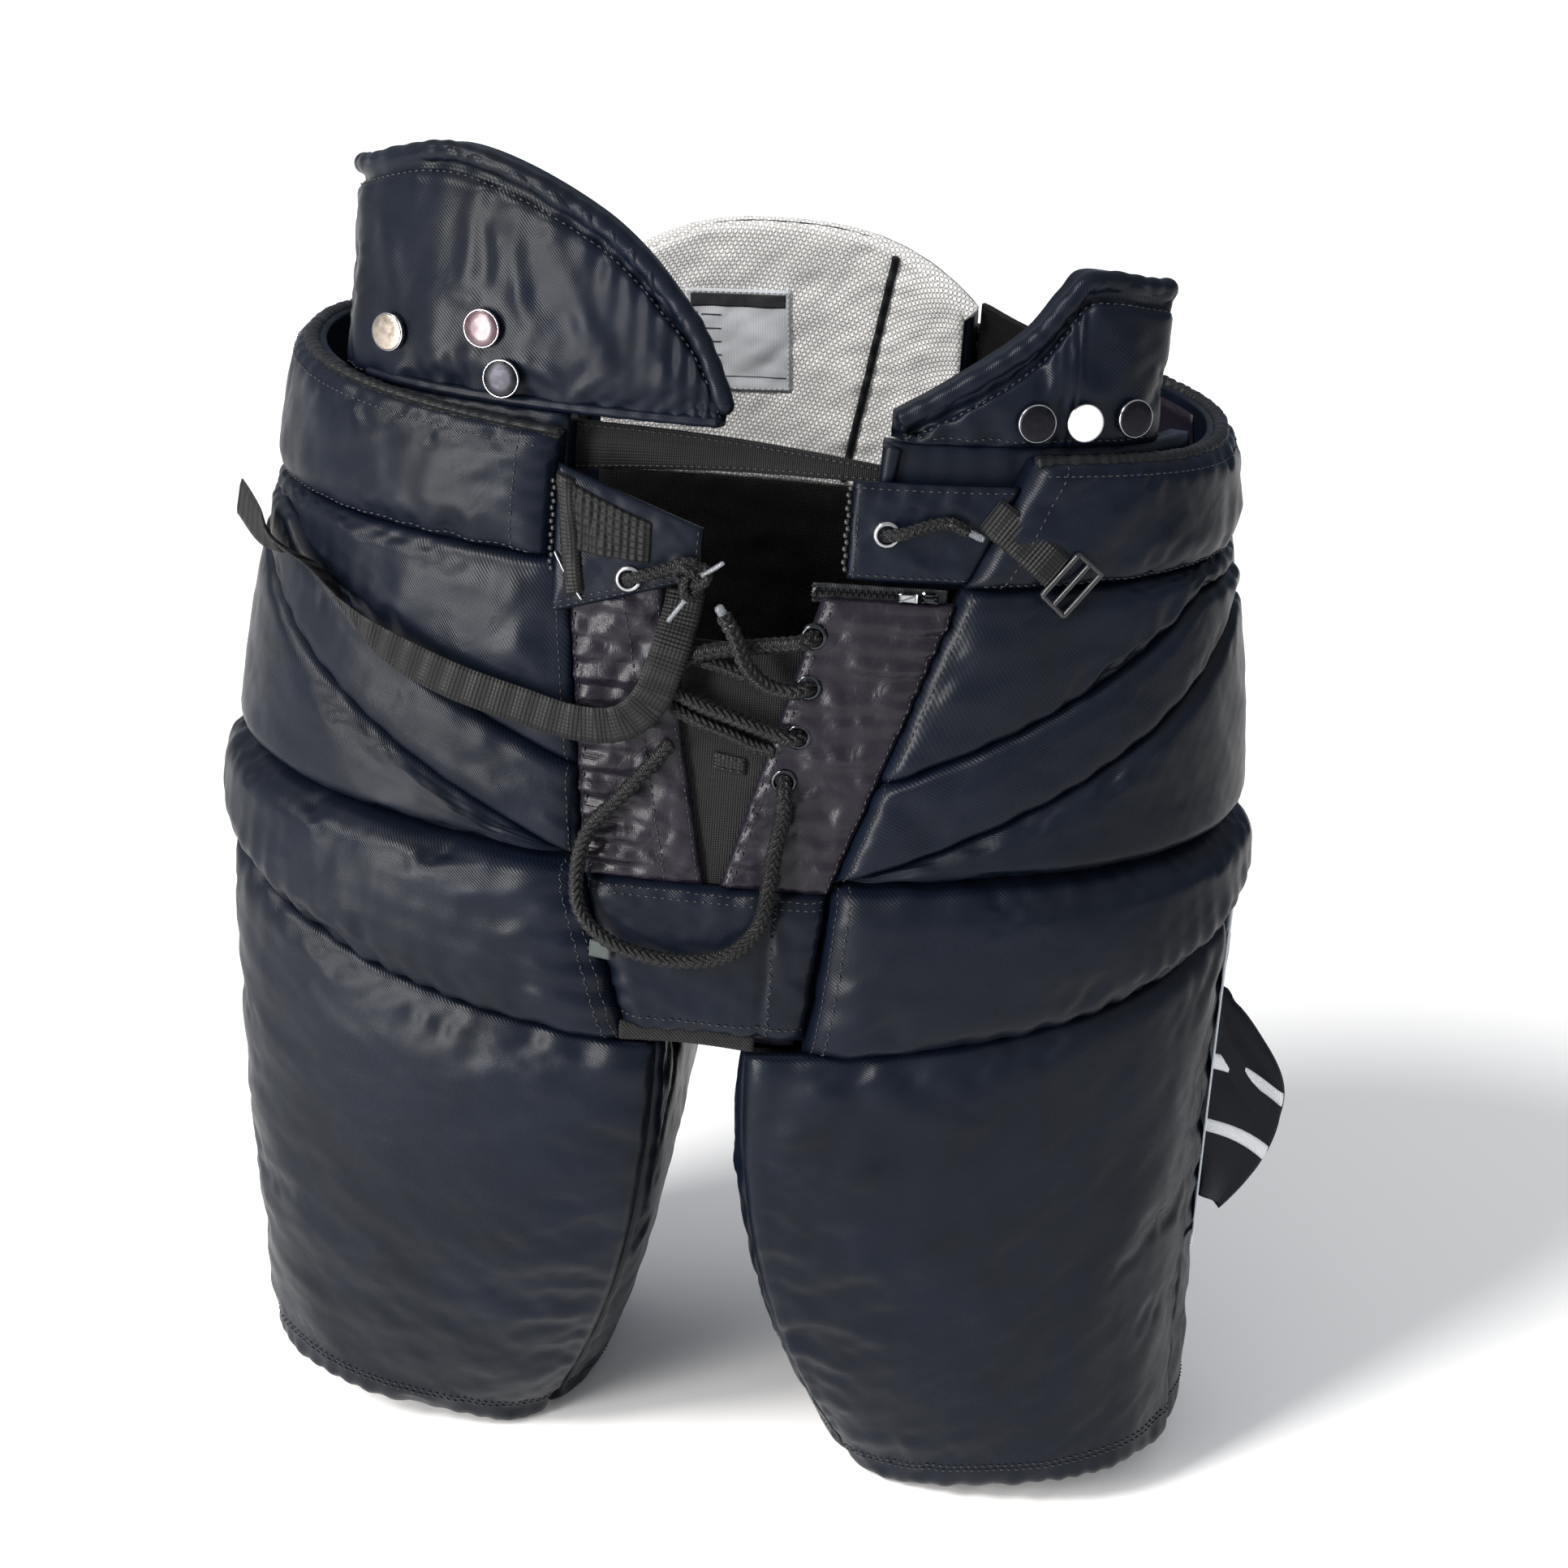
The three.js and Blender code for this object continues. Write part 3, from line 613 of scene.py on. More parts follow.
def ribbon(mould, line, wide, thin, width, thickness, ribs=0.0, pitch=2.4, look=0, across=6):
    """A flat woven run along a line: wide and thin are its directions at each point."""
    line = np.asarray(line, float)
    far = distances(line)
    width = np.broadcast_to(np.asarray(width, float), (len(line),))
    share = np.concatenate([np.linspace(-0.5, 0.5, across + 1), np.linspace(0.5, -0.5, across + 1)])
    sign = np.concatenate([np.full(across + 1, 1.0), np.full(across + 1, -1.0)])
    edge = 1 - 0.5 * (np.abs(share) > 0.499)
    wave = ribs * np.sin(2 * math.pi * far / pitch)
    half = thickness / 2 + wave[:, None]
    points = (
        line[:, None, :]
        + wide[:, None, :] * (share[None, :] * width[:, None])[..., None]
        + thin[:, None, :] * (sign * edge * half)[..., None]
    )
    count = 2 * (across + 1)
    uvs = np.stack(np.broadcast_arrays(share[None, :] * width.mean() / 1000, far[:, None] / 1000), -1)
    faces = []
    for j in range(len(line) - 1):
        for i in range(count):
            k = (i + 1) % count
            faces.append((j * count + i, j * count + k, (j + 1) * count + k, (j + 1) * count + i)[::-1])
    last = (len(line) - 1) * count
    faces.append(tuple(range(count)))
    faces.append(tuple(range(last + count - 1, last - 1, -1)))
    mould.add(points.reshape(-1, 3), faces, uvs.reshape(-1, 2), look)


def turned(mould, profile, place, direction, segments=40, look=0):
    """A turned shape: profile gives (radius, height) from its axis to its axis, or closed on itself."""
    direction = np.asarray(direction, float)
    direction = unit(direction)
    side = np.cross(direction, [0.0, 0.0, 1.0])
    side = unit(side)
    other = np.cross(direction, side)
    theta = np.linspace(0, 2 * math.pi, segments, endpoint=False)
    ring = np.cos(theta)[:, None] * side + np.sin(theta)[:, None] * other
    closed = profile[0][0] > 1e-6
    points = np.array([np.asarray(place) + r * ring + h * direction for r, h in profile]).reshape(-1, 3)
    faces = []
    rows = len(profile)
    for j in range(rows if closed else rows - 1):
        for i in range(segments):
            k, n = (i + 1) % segments, (j + 1) % rows
            faces.append((j * segments + i, j * segments + k, n * segments + k, n * segments + i))
    uvs = np.stack([points[:, 0], points[:, 2]], 1) / 1000
    mould.add(points, faces, uvs, look)


def stitch_row(mould, line, normals, pitch=4.2, length=2.7, radius=0.42, zigzag=0.0, look=0, lift=0.15):
    """Thread along a line of the cloth: each stitch rises out of it and goes back in."""
    line, normals = np.asarray(line, float), np.asarray(normals, float)
    total = line_length(line)
    count = max(2, int(total / pitch))
    fine = even_line(np.hstack([line, normals]), count * 4 + 1)
    spots, outs = fine[:, :3], fine[:, 3:]
    outs = unit(outs)
    for number in range(count):
        at = number * 4
        a, b, out = spots[at], spots[min(at + 3, len(spots) - 1)], outs[at + 1]
        way = b - a
        size = np.linalg.norm(way)
        if size < 1e-6:
            continue
        way /= size
        across = np.cross(out, way)
        a = a + across * (zigzag if number % 2 else -zigzag)
        end = a + way * length + across * (0 if not zigzag else (-2 * zigzag if number % 2 else 2 * zigzag))
        way = unit(end - a)
        across = np.cross(out, way)
        shape = []
        for t, rise, thick in ((0, -0.5, 0.5), (0.25, 0.5, 1), (0.75, 0.5, 1), (1, -0.5, 0.5)):
            middle = a + (end - a) * t + out * (lift + rise * radius)
            for k in range(5):
                turn = 2 * math.pi * k / 5
                shape.append(middle + radius * thick * (across * math.cos(turn) + out * math.sin(turn)))
        faces = [
            (5 * j + k, 5 * j + (k + 1) % 5, 5 * j + 5 + (k + 1) % 5, 5 * j + 5 + k) for j in range(3)
            for k in range(5)]
        faces += [(4, 3, 2, 1, 0), (15, 16, 17, 18, 19)]
        mould.add(shape, faces, None, look)


def braid(line, diameter, plaits=3):
    """The relief of a round braided lace, for rod's height: columns of strands that lean
    left and right in turn."""
    def height(theta, far):
        lean = np.abs((plaits * theta / (2 * math.pi)) % 1 * 2 - 1)
        strand = np.abs(np.cos(math.pi * (far / (0.56 * diameter) + 1.15 * lean))) ** 0.8
        column = 0.72 + 0.28 * np.abs(np.sin(plaits * theta)) ** 0.5
        return diameter * 0.30 * (strand * column - 0.80)
    return height


# ---------------------------------------------------------------- materials
def linear(code, alpha=1.0):
    """A colour from its sRGB hex code."""
    parts = [int(code[i:i + 2], 16) / 255 for i in (1, 3, 5)]
    return tuple(c / 12.92 if c <= 0.04045 else ((c + 0.055) / 1.055) ** 2.4 for c in parts) + (alpha,)


def node(tree, kind, inputs=None, **settings):
    """Adds a node: its settings first, then each input's number, colour or link."""
    made = tree.nodes.new(kind)
    for name, value in settings.items():
        setattr(made, name, value)
    for name, value in (inputs or {}).items():
        socket = made.inputs[name]
        if isinstance(value, bpy.types.NodeSocket):
            tree.links.new(value, socket)
        else:
            socket.default_value = value
    return made


def empty_material(name):
    material = bpy.data.materials.new(name)
    material.use_nodes = True
    material.node_tree.nodes.clear()
    return material, material.node_tree


def finish_material(tree, surface):
    node(tree, "ShaderNodeOutputMaterial", {"Surface": surface})


def stripes(tree, uv, pitch, slant):
    """Fine parallel lines across the cloth, `pitch` metres apart, from -1 to 1."""
    turn = math.radians(slant)
    way = (2 * math.pi / pitch * math.cos(turn), 2 * math.pi / pitch * math.sin(turn), 0)
    far = node(tree, "ShaderNodeVectorMath", {0: uv, 1: way}, operation="DOT_PRODUCT")
    return node(tree, "ShaderNodeMath", {0: far.outputs["Value"]}, operation="SINE").outputs[0]


def woven(
    name, dark, light, rough, sheen, sheen_rough, pitch, slant, weave, crumple, crumple_size, cross=0.0,
    sheen_tint="#ffffff", level=0.2):
    """Woven cloth: a weave, an uneven dye and small creases, all sized in metres."""
    material, tree = empty_material(name)
    uv = node(tree, "ShaderNodeUVMap", uv_map="cloth").outputs["UV"]
    place = node(tree, "ShaderNodeTexCoord").outputs["Object"]
    patchy = node(tree, "ShaderNodeTexNoise", {"Vector": place, "Scale": 14.0, "Detail": 3.0, "Roughness": 0.55})
    colour = node(
        tree, "ShaderNodeMix", {"Factor": patchy.outputs["Fac"], 6: linear(dark), 7: linear(light)},
        data_type="RGBA")
    twill = stripes(tree, uv, pitch, slant)
    height = twill
    if cross:
        other = stripes(tree, uv, pitch, slant + 90)
        height = node(tree, "ShaderNodeMath", {0: other, 1: cross, 2: twill}, operation="MULTIPLY_ADD").outputs[0]
    thread = node(
        tree, "ShaderNodeMapRange",
        {"Value": height, "From Min": -1.6, "From Max": 1.6, "To Min": 0.72, "To Max": 1.3})
    shade = node(
        tree, "ShaderNodeVectorMath", {0: colour.outputs[2], "Scale": thread.outputs[0]}, operation="SCALE")
    uneven_shine = node(
        tree, "ShaderNodeTexNoise", {"Vector": place, "Scale": 46.0, "Detail": 4.0, "Roughness": 0.6})
    gloss = node(
        tree, "ShaderNodeMapRange",
        {
            "Value": uneven_shine.outputs["Fac"], "From Min": 0.3, "From Max": 0.7, "To Min": rough - 0.05,
            "To Max": rough + 0.06})
    folds = node(
        tree, "ShaderNodeTexNoise",
        {"Vector": place, "Scale": 1 / crumple_size, "Detail": 5.0, "Roughness": 0.52, "Distortion": 0.7})
    creased = node(tree, "ShaderNodeBump", {"Strength": 1.0, "Distance": crumple, "Height": folds.outputs["Fac"]})
    threads = node(
        tree, "ShaderNodeBump", {"Strength": 1.0, "Distance": weave, "Height": height, "Normal": creased.outputs[0]}
    )
    shader = node(tree, "ShaderNodeBsdfPrincipled", {
        "Base Color": shade.outputs[0], "Roughness": gloss.outputs[0], "Normal": threads.outputs[0],
        "Sheen Weight": sheen, "Sheen Roughness": sheen_rough, "Sheen Tint": linear(sheen_tint),
        "Specular IOR Level": level, "IOR": 1.53,
    })
    finish_material(tree, shader.outputs[0])
    return material


def smooth_solid(name, colour, other, rough, metallic=0.0, grain=0.0001, size=0.004, coat=0.0, alpha=1.0):
    """Moulded or plated surfaces: an even colour with slight wear and a fine uneven skin."""
    material, tree = empty_material(name)
    place = node(tree, "ShaderNodeTexCoord").outputs["Object"]
    wear = node(tree, "ShaderNodeTexNoise", {"Vector": place, "Scale": 1 / size, "Detail": 4.0})
    tone = node(
        tree, "ShaderNodeMix", {"Factor": wear.outputs["Fac"], 6: linear(colour), 7: linear(other)},
        data_type="RGBA")
    gloss = node(
        tree, "ShaderNodeMapRange",
        {
            "Value": wear.outputs["Fac"], "From Min": 0.35, "From Max": 0.65, "To Min": rough * 0.8,
            "To Max": rough * 1.25})
    skin = node(tree, "ShaderNodeBump", {"Strength": 0.6, "Distance": grain, "Height": wear.outputs["Fac"]})
    shader = node(tree, "ShaderNodeBsdfPrincipled", {
        "Base Color": tone.outputs[2], "Roughness": gloss.outputs[0], "Normal": skin.outputs[0],
        "Metallic": metallic, "Coat Weight": coat, "Coat Roughness": 0.12, "Alpha": alpha,
    })
    finish_material(tree, shader.outputs[0])
    return material


def spacer_mesh(name, thread, hole_shade):
    """Polyester spacer mesh: pale knitted threads around small holes painted dark as the shade down in them, 3.2 mm
    apart as the real 1.5 mm holes are too fine to show."""
    material, tree = empty_material(name)
    uv = node(tree, "ShaderNodeUVMap", uv_map="cloth").outputs["UV"]
    place = node(tree, "ShaderNodeTexCoord").outputs["Object"]
    a, b = stripes(tree, uv, 0.0032, 32), stripes(tree, uv, 0.0026, 128)
    holes = node(tree, "ShaderNodeMath", {0: a, 1: b}, operation="MULTIPLY").outputs[0]
    both = node(tree, "ShaderNodeMath", {0: a, 1: b}, operation="ADD").outputs[0]
    knit = node(tree, "ShaderNodeMath", {0: both, 1: 0.6, 2: holes}, operation="MULTIPLY_ADD").outputs[0]
    share = node(
        tree, "ShaderNodeMapRange", {"Value": knit, "From Min": -0.9, "From Max": 0.35},
        interpolation_type="SMOOTHSTEP")
    patchy = node(tree, "ShaderNodeTexNoise", {"Vector": place, "Scale": 30.0, "Detail": 4.0})
    worn = node(
        tree, "ShaderNodeMapRange",
        {"Value": patchy.outputs["Fac"], "From Min": 0.3, "From Max": 0.7, "To Min": 0.84, "To Max": 1.06})
    pale = node(tree, "ShaderNodeVectorMath", {0: linear(thread)[:3], "Scale": worn.outputs[0]}, operation="SCALE")
    # The holes get the painted shade colour and the threads get the pale one.
    colour = node(
        tree, "ShaderNodeMix", {"Factor": share.outputs[0], 6: linear(hole_shade), 7: pale.outputs[0]}, data_type="RGBA"
    )
    relief = node(tree, "ShaderNodeBump", {"Strength": 0.9, "Distance": 0.0006, "Height": share.outputs[0]})
    shader = node(tree, "ShaderNodeBsdfPrincipled", {
        "Base Color": colour.outputs[2], "Roughness": 0.85, "Normal": relief.outputs[0],
        "Sheen Weight": 0.2, "Sheen Roughness": 0.5,
    })
    finish_material(tree, shader.outputs[0])
    return material


LOOKS = {}


def looks():
    """The pants' materials, made once."""
    if LOOKS:
        return LOOKS
    colours = bpy.context.scene.hockey_pants_colours
    def code(name):
        part = getattr(colours, name)
        srgb = [12.92 * c if c <= 0.0031308 else 1.055 * c ** (1 / 2.4) - 0.055 for c in part]
        return "#" + "".join(f"{round(255 * c):02x}" for c in srgb)
    shell, fly = code("shell"), code("fly")
    # Woven nylon with a satin face: broad soft shine, fine slanting twill. The real twill is
    # 0.4 mm; it is drawn at 1.1 mm so that it shows.
    LOOKS["satin"] = woven(
        "satin_nylon_twill", shell, "#0a111e", 0.34, 0.0, 0.35, 0.0011, 52, 0.00003, 0.0007, 0.040,
        sheen_tint="#9fb4e6", level=0.12)
    # The same nylon, thinner and unlined, so it creases finely.
    LOOKS["thin"] = woven(
        "thin_crinkled_nylon", fly, "#15101c", 0.34, 0.02, 0.4, 0.0010, 90, 0.00002, 0.0015, 0.018, cross=0.5,
        sheen_tint="#b8a4d8", level=0.22)
    # Polyester webbing: matt, thick threads across its width.
    LOOKS["webbing"] = woven(
        "polyester_webbing", "#060607", "#0d0e0f", 0.5, 0.03, 0.5, 0.0021, 90, 0.00018, 0.0003, 0.02, cross=0.35,
        sheen_tint="#d0d2d8")
    LOOKS["elastic"] = woven(
        "knitted_elastic", "#040405", "#08080a", 0.62, 0.015, 0.5, 0.0013, 0, 0.00012, 0.0005, 0.03, cross=0.6,
        sheen_tint="#d0d2d8")
    LOOKS["grid_elastic"] = woven(
        "grid_stitched_elastic", "#050506", "#0b0b0c", 0.6, 0.02, 0.5, 0.0042, 90, 0.0003, 0.0003, 0.02, cross=1.0,
        sheen_tint="#d0d2d8")
    LOOKS["lace"] = woven(
        "braided_polyester_lace", "#060607", "#0e0f11", 0.36, 0.04, 0.5, 0.0009, 62, 0.00012, 0.0002, 0.01,
        sheen_tint="#c9ccd4")
    LOOKS["binding"] = woven(
        "folded_binding_tape", "#07080a", "#0d0f12", 0.45, 0.03, 0.45, 0.0012, 20, 0.00006, 0.0008, 0.014,
        sheen_tint="#c4c8d2")
    LOOKS["hook"] = woven(
        "hook_and_loop_tape", "#070708", "#0d0d0f", 0.85, 0.04, 0.6, 0.0015, 45, 0.0004, 0.0010, 0.004, cross=1.0)
    LOOKS["thread"] = smooth_solid("sewing_thread", "#0b0c10", "#15171d", 0.5, size=0.002)
    # The second colour is painted shade in the mesh's holes.
    LOOKS["mesh"] = spacer_mesh("polyester_spacer_mesh", "#fbfbfb", "#a3a09d")
    LOOKS["stripe"] = woven(
        "pale_knit_stripe", "#a9b4bf", "#c5cdd6", 0.7, 0.2, 0.5, 0.0014, 90, 0.00008, 0.0006, 0.02, cross=0.6)
    LOOKS["white"] = woven(
        "white_knit_stripe", "#d5d7dc", "#eef0f3", 0.7, 0.2, 0.5, 0.0014, 90, 0.00008, 0.0006, 0.02, cross=0.6)
    LOOKS["label"] = woven("satin_label", "#a9adb3", "#c3c6ca", 0.4, 0.1, 0.4, 0.0010, 0, 0.00003, 0.0007, 0.03)
    LOOKS["print"] = smooth_solid("printed_label_ink", "#1b1c20", "#2c2d31", 0.6)
    LOOKS["tag"] = woven("grey_green_tag", "#2d3332", "#3a413f", 0.6, 0.1, 0.4, 0.0012, 0, 0.00005, 0.0003, 0.02)
    # Polyethylene guards, and acetal buckles and teeth, as they come from the mould.
    LOOKS["guard"] = smooth_solid("moulded_polyethylene", "#cfd0ca", "#dcdcd6", 0.45, size=0.01)
    LOOKS["plastic"] = smooth_solid("moulded_acetal", "#101113", "#1c1d20", 0.33, size=0.006, grain=0.00005)
    LOOKS["clear"] = smooth_solid("clear_cellulose_tip", "#5d6168", "#83878e", 0.16, coat=0.6, alpha=0.45)
    # Plated steel: bright nickel rims, dark stems and coloured snap faces; the white snap face is painted glare, a
    # shiny face drawn white as if it were lit full.
    LOOKS["nickel"] = smooth_solid("bright_nickel_plate", "#8f9195", "#acaeb2", 0.2, 1.0, grain=0.00002)
    LOOKS["dark_nickel"] = smooth_solid("black_nickel_plate", "#2c2d31", "#47494e", 0.16, 1.0, grain=0.00002)
    LOOKS["beige_face"] = smooth_solid("brushed_steel_face", "#958a7e", "#aaa094", 0.3, 1.0, size=0.003)
    LOOKS["plum_face"] = smooth_solid("plum_enamel_face", "#2c1820", "#40262e", 0.3, 0.3, size=0.003, coat=0.3)
    LOOKS["dark_face"] = smooth_solid("dark_steel_face", "#1b1b1e", "#2a2a2e", 0.3, 1.0, size=0.003)
    # Painted highlight: a shiny snap face coloured white for the glare of light on it.
    LOOKS["glare_face"] = smooth_solid("white_painted_glare_face", "#e4e4e4", "#f4f4f4", 0.3, 0.0, size=0.003, coat=0.5)
    return LOOKS


# ---------------------------------------------------------------- settings
class HockeyPantsSizes(bpy.types.PropertyGroup):
    """Sizes that can be changed without leaving the fixed frame"""

    piping: bpy.props.FloatProperty(
        name="Piping radius", description="Radius of the rolled edge of the belly flaps, in metres", default=0.0054,
        min=0.003, max=0.009, unit="LENGTH")
    belt_roll: bpy.props.FloatProperty(
        name="Belt roll radius", description="Radius of the bound top edge of the waist belts, in metres",
        default=0.0034, min=0.001, max=0.006, unit="LENGTH")
    stitch: bpy.props.FloatProperty(
        name="Stitch spacing", description="Distance from one stitch to the next, in metres", default=0.0042,
        min=0.002, max=0.01, unit="LENGTH")
    pucker: bpy.props.FloatProperty(
        name="Seam puckers", description="Height of the gathers beside the seams, in metres", default=0.0011,
        min=0.0, max=0.004, unit="LENGTH")
    pressure: bpy.props.FloatProperty(
        name="Stuffing pressure", description="Pressure of the cloth simulation that fills the pads", default=3.0,
        min=0.0, max=12.0)


class HockeyPantsColours(bpy.types.PropertyGroup):
    """Colours of the main cloths"""

    shell: bpy.props.FloatVectorProperty(
        name="Shell", description="Satin nylon of the belts, hips and legs", subtype="COLOR", size=3, min=0, max=1,
        default=linear("#05070b")[:3])
    fly: bpy.props.FloatVectorProperty(
        name="Fly", description="Thin nylon of the fly", subtype="COLOR", size=3, min=0, max=1,
        default=linear("#100e13")[:3])


class Maker:
    bl_options = {"REGISTER", "UNDO"}

    def execute(self, context):
        self.make(looks(), context.scene.hockey_pants_sizes)
        return {"FINISHED"}


def stage_thing(name, kind, data, place, target=None):
    thing = bpy.data.objects.new(name, data)
    thing.location = place
    if target is not None:
        thing.rotation_euler = (Vector(target) - Vector(place)).to_track_quat("-Z", "Y").to_euler()
    bpy.context.scene.collection.objects.link(thing)
    return thing


class PANTS_OT_stage(Maker, bpy.types.Operator):
    """Make the floor, the soft light and the camera"""

    bl_idname = "hockey_pants.stage"
    bl_label = "Stage"

    def make(self, look, sizes):
        scene = bpy.context.scene
        turn, tilt, roll = math.radians(4), math.radians(21), math.radians(4)
        back = Vector((math.sin(turn) * math.cos(tilt), -math.cos(turn) * math.cos(tilt), math.sin(tilt)))
        right = Vector((math.cos(turn), math.sin(turn), 0))
        up = back.cross(right)
        across = right * math.cos(roll) + up * math.sin(roll)
        above = up * math.cos(roll) - right * math.sin(roll)
        lens = bpy.data.cameras.new("camera")
        lens.sensor_width, lens.lens = 36, 68.1
        lens.clip_start, lens.clip_end = 0.05, 100
        camera = bpy.data.objects.new("camera", lens)
        matrix = camera.matrix_world.copy()
        for column, axis in enumerate((across, above, back)):
            for line in range(3):
                matrix[line][column] = axis[line]
        target, distance = Vector(spot((26, 0, 400))), 1.7
        for line in range(3):
            matrix[line][3] = (target + back * distance)[line]
        camera.matrix_world = matrix
        scene.collection.objects.link(camera)
        scene.camera = camera
        scene.view_settings.view_transform = "Standard"

        world = bpy.data.worlds.new("soft_room")
        scene.world = world
        world.use_nodes = True
        tree = world.node_tree
        tree.nodes.clear()
        sky = node(tree, "ShaderNodeTexCoord").outputs["Generated"]
        way = node(tree, "ShaderNodeVectorMath", {0: sky, 1: (-0.45, -0.55, 0.70)}, operation="DOT_PRODUCT")
        share = node(
            tree, "ShaderNodeMapRange", {"Value": way.outputs["Value"], "From Min": -0.75, "From Max": 0.85},
            interpolation_type="SMOOTHSTEP")
        tint = node(
            tree, "ShaderNodeMix",
            {"Factor": share.outputs[0], 6: (0.20, 0.27, 0.40, 1), 7: (1.0, 0.995, 0.985, 1)}, data_type="RGBA")
        glow = node(tree, "ShaderNodeBackground", {"Color": tint.outputs[2], "Strength": 0.80})
        node(tree, "ShaderNodeOutputWorld", {"Surface": glow.outputs[0]})

        sun = bpy.data.lights.new("window", "SUN")
        sun.energy, sun.angle, sun.color = 3.2, math.radians(16), (1.0, 0.98, 0.95)
        stage_thing("window", "LIGHT", sun, (-2.2, -2.0, 2.9), (0, 0, 0.35))
        strip = bpy.data.lights.new("strip", "AREA")
        strip.shape, strip.size, strip.size_y, strip.energy, strip.color = "RECTANGLE", 0.4, 1.1, 50, (
            1.0, 0.98, 0.96)
        stage_thing("strip", "LIGHT", strip, (-1.2, -1.55, 0.62), (-0.05, 0, 0.3))

        floor_look, tree = empty_material("pale_painted_floor")
        place = node(tree, "ShaderNodeTexCoord").outputs["Object"]
        dust = node(tree, "ShaderNodeTexNoise", {"Vector": place, "Scale": 3.0, "Detail": 4.0})
        tone = node(
            tree, "ShaderNodeMix", {"Factor": dust.outputs["Fac"], 6: linear("#f8f8f8"), 7: linear("#fcfcfc")},
            data_type="RGBA")
        paint = node(
            tree, "ShaderNodeBsdfPrincipled",
            {"Base Color": tone.outputs[2], "Roughness": 0.9, "Specular IOR Level": 0.15})
        finish_material(tree, paint.outputs[0])
        ring = [(30 * math.cos(a), 30 * math.sin(a), 0) for a in np.linspace(0, 2 * math.pi, 48, endpoint=False)]
        mesh = bpy.data.meshes.new("floor")
        mesh.from_pydata(ring, [], [tuple(range(48))])
        mesh.materials.append(floor_look)
        floor = bpy.data.objects.new("floor", mesh)
        scene.collection.objects.link(floor)


# ---------------------------------------------------------------- cords
EYELETS = ((46, 536), (45, 509), (42, 482), (36, 457))
GROMMETS = {-1: (-50, 559), 1: (79, 592)}
TAB_OUTER = {-1: 1.6, 1: -3}
ON_PLACKET = PLACKET_OUTER + 0.4


def out_of(ring, offset):
    return [(*ring, offset + 0.6), (*ring, offset + 3.3)]


def laid(route):
    return np.array([front_point(x, z, offset) for x, z, offset, *rest in route])


LACES = {
    "fly_lace": out_of(EYELETS[0], ON_PLACKET) + [
        (39, 534, 5), (26, 531, 3), (8, 528, 3.5), (-12, 523, 3.5), (-24, 514, 4), (-25, 505, 4.2), (-14, 498, 4),
        (4, 492, 4), (22, 486, 3), (34, 483, 5),
    ] + out_of(EYELETS[2], ON_PLACKET)[::-1],
    "fly_lace_end": [
        (0, 548, 13.5), (6, 538, 13.5), (13, 522, 13), (24, 511, 8.5), (37, 508, 5.5)
    ] + out_of(EYELETS[1], ON_PLACKET)[::-1],
    "fly_lace_loop": [
        (-24, 473, 2.5), (-34, 460, 4.5), (-48, 442, 7), (-62, 424, 8), (-67, 402, 9), (-63, 380, 13),
        (-48, 366, 15), (-26, 359, 15), (-4, 359, 15), (16, 366, 15), (28, 382, 14), (32, 404, 8), (34, 424, 6),
        (37, 441, 5), (36.4, 451, 7),
    ] + out_of(EYELETS[3], ON_PLACKET)[::-1],
    "right_waist_lace": out_of(GROMMETS[-1], TAB_OUTER[-1] + 0.4) + [
        (-43, 562, 8), (-30, 567, 6), (-19, 571, 6), (-13, 566, 7), (-15, 556, 7)],
    "left_waist_lace": out_of(GROMMETS[1], TAB_OUTER[1] + 0.4) + [
        (86, 594, 3.5), (98, 598, 2), (109, 600, 1.5), (119, 596, 1.5)],
}
STRAP = [
    (-266, 546, 24, 0), (-238, 544, 14, 0), (-212, 536, 10, 5), (-190, 523, 16, 65), (-170, 510, 16, 75),
    (-135, 497, 15, 45), (-100, 487, 10, 10), (-70, 481, 9, 0), (-48, 484, 10, 0), (-34, 498, 11.5, 5),
    (-28, 515, 12.5, 10), (-25, 528, 9, 5), (-23, 541, 0, 0), (-22, 553, -5.5, 0),
]


def lace_tube(name, line, diameter, look):
    mould = Mould()
    rod(mould, line, diameter / 2, 30, braid(line, diameter))
    return mould.keep(name, look["lace"], "torso", "lace_cord")


def tip(name, end, before, look, radius=1.6, length=15):
    """The clear tip crimped on a lace's end."""
    way = unit(end - before)
    line = even_line(np.array([end - way * length * 0.55, end + way * length * 0.45]), 12)
    mould = Mould()
    rod(mould, line, np.r_[radius * 1.5, np.full(10, radius), radius * 0.75], 14)
    return mould.keep(name, look["clear"], slot="lace_cord")


def knot(name, middle, size, look):
    """A tight overhand knot."""
    t = np.linspace(0, 2 * math.pi, 90)
    x = (np.sin(t) + 2 * np.sin(2 * t)) * size / 3
    y = (np.cos(t) - 2 * np.cos(2 * t)) * size / 3
    z = -np.sin(3 * t) * size / 3
    line = np.stack([x, z * 0.8, y], 1)[:-1] + middle
    mould = Mould()
    rod(mould, even_line(line, 220), size * 0.32, 24, braid(line, size * 0.64))
    return mould.keep(name, look["lace"], slot="lace_cord")


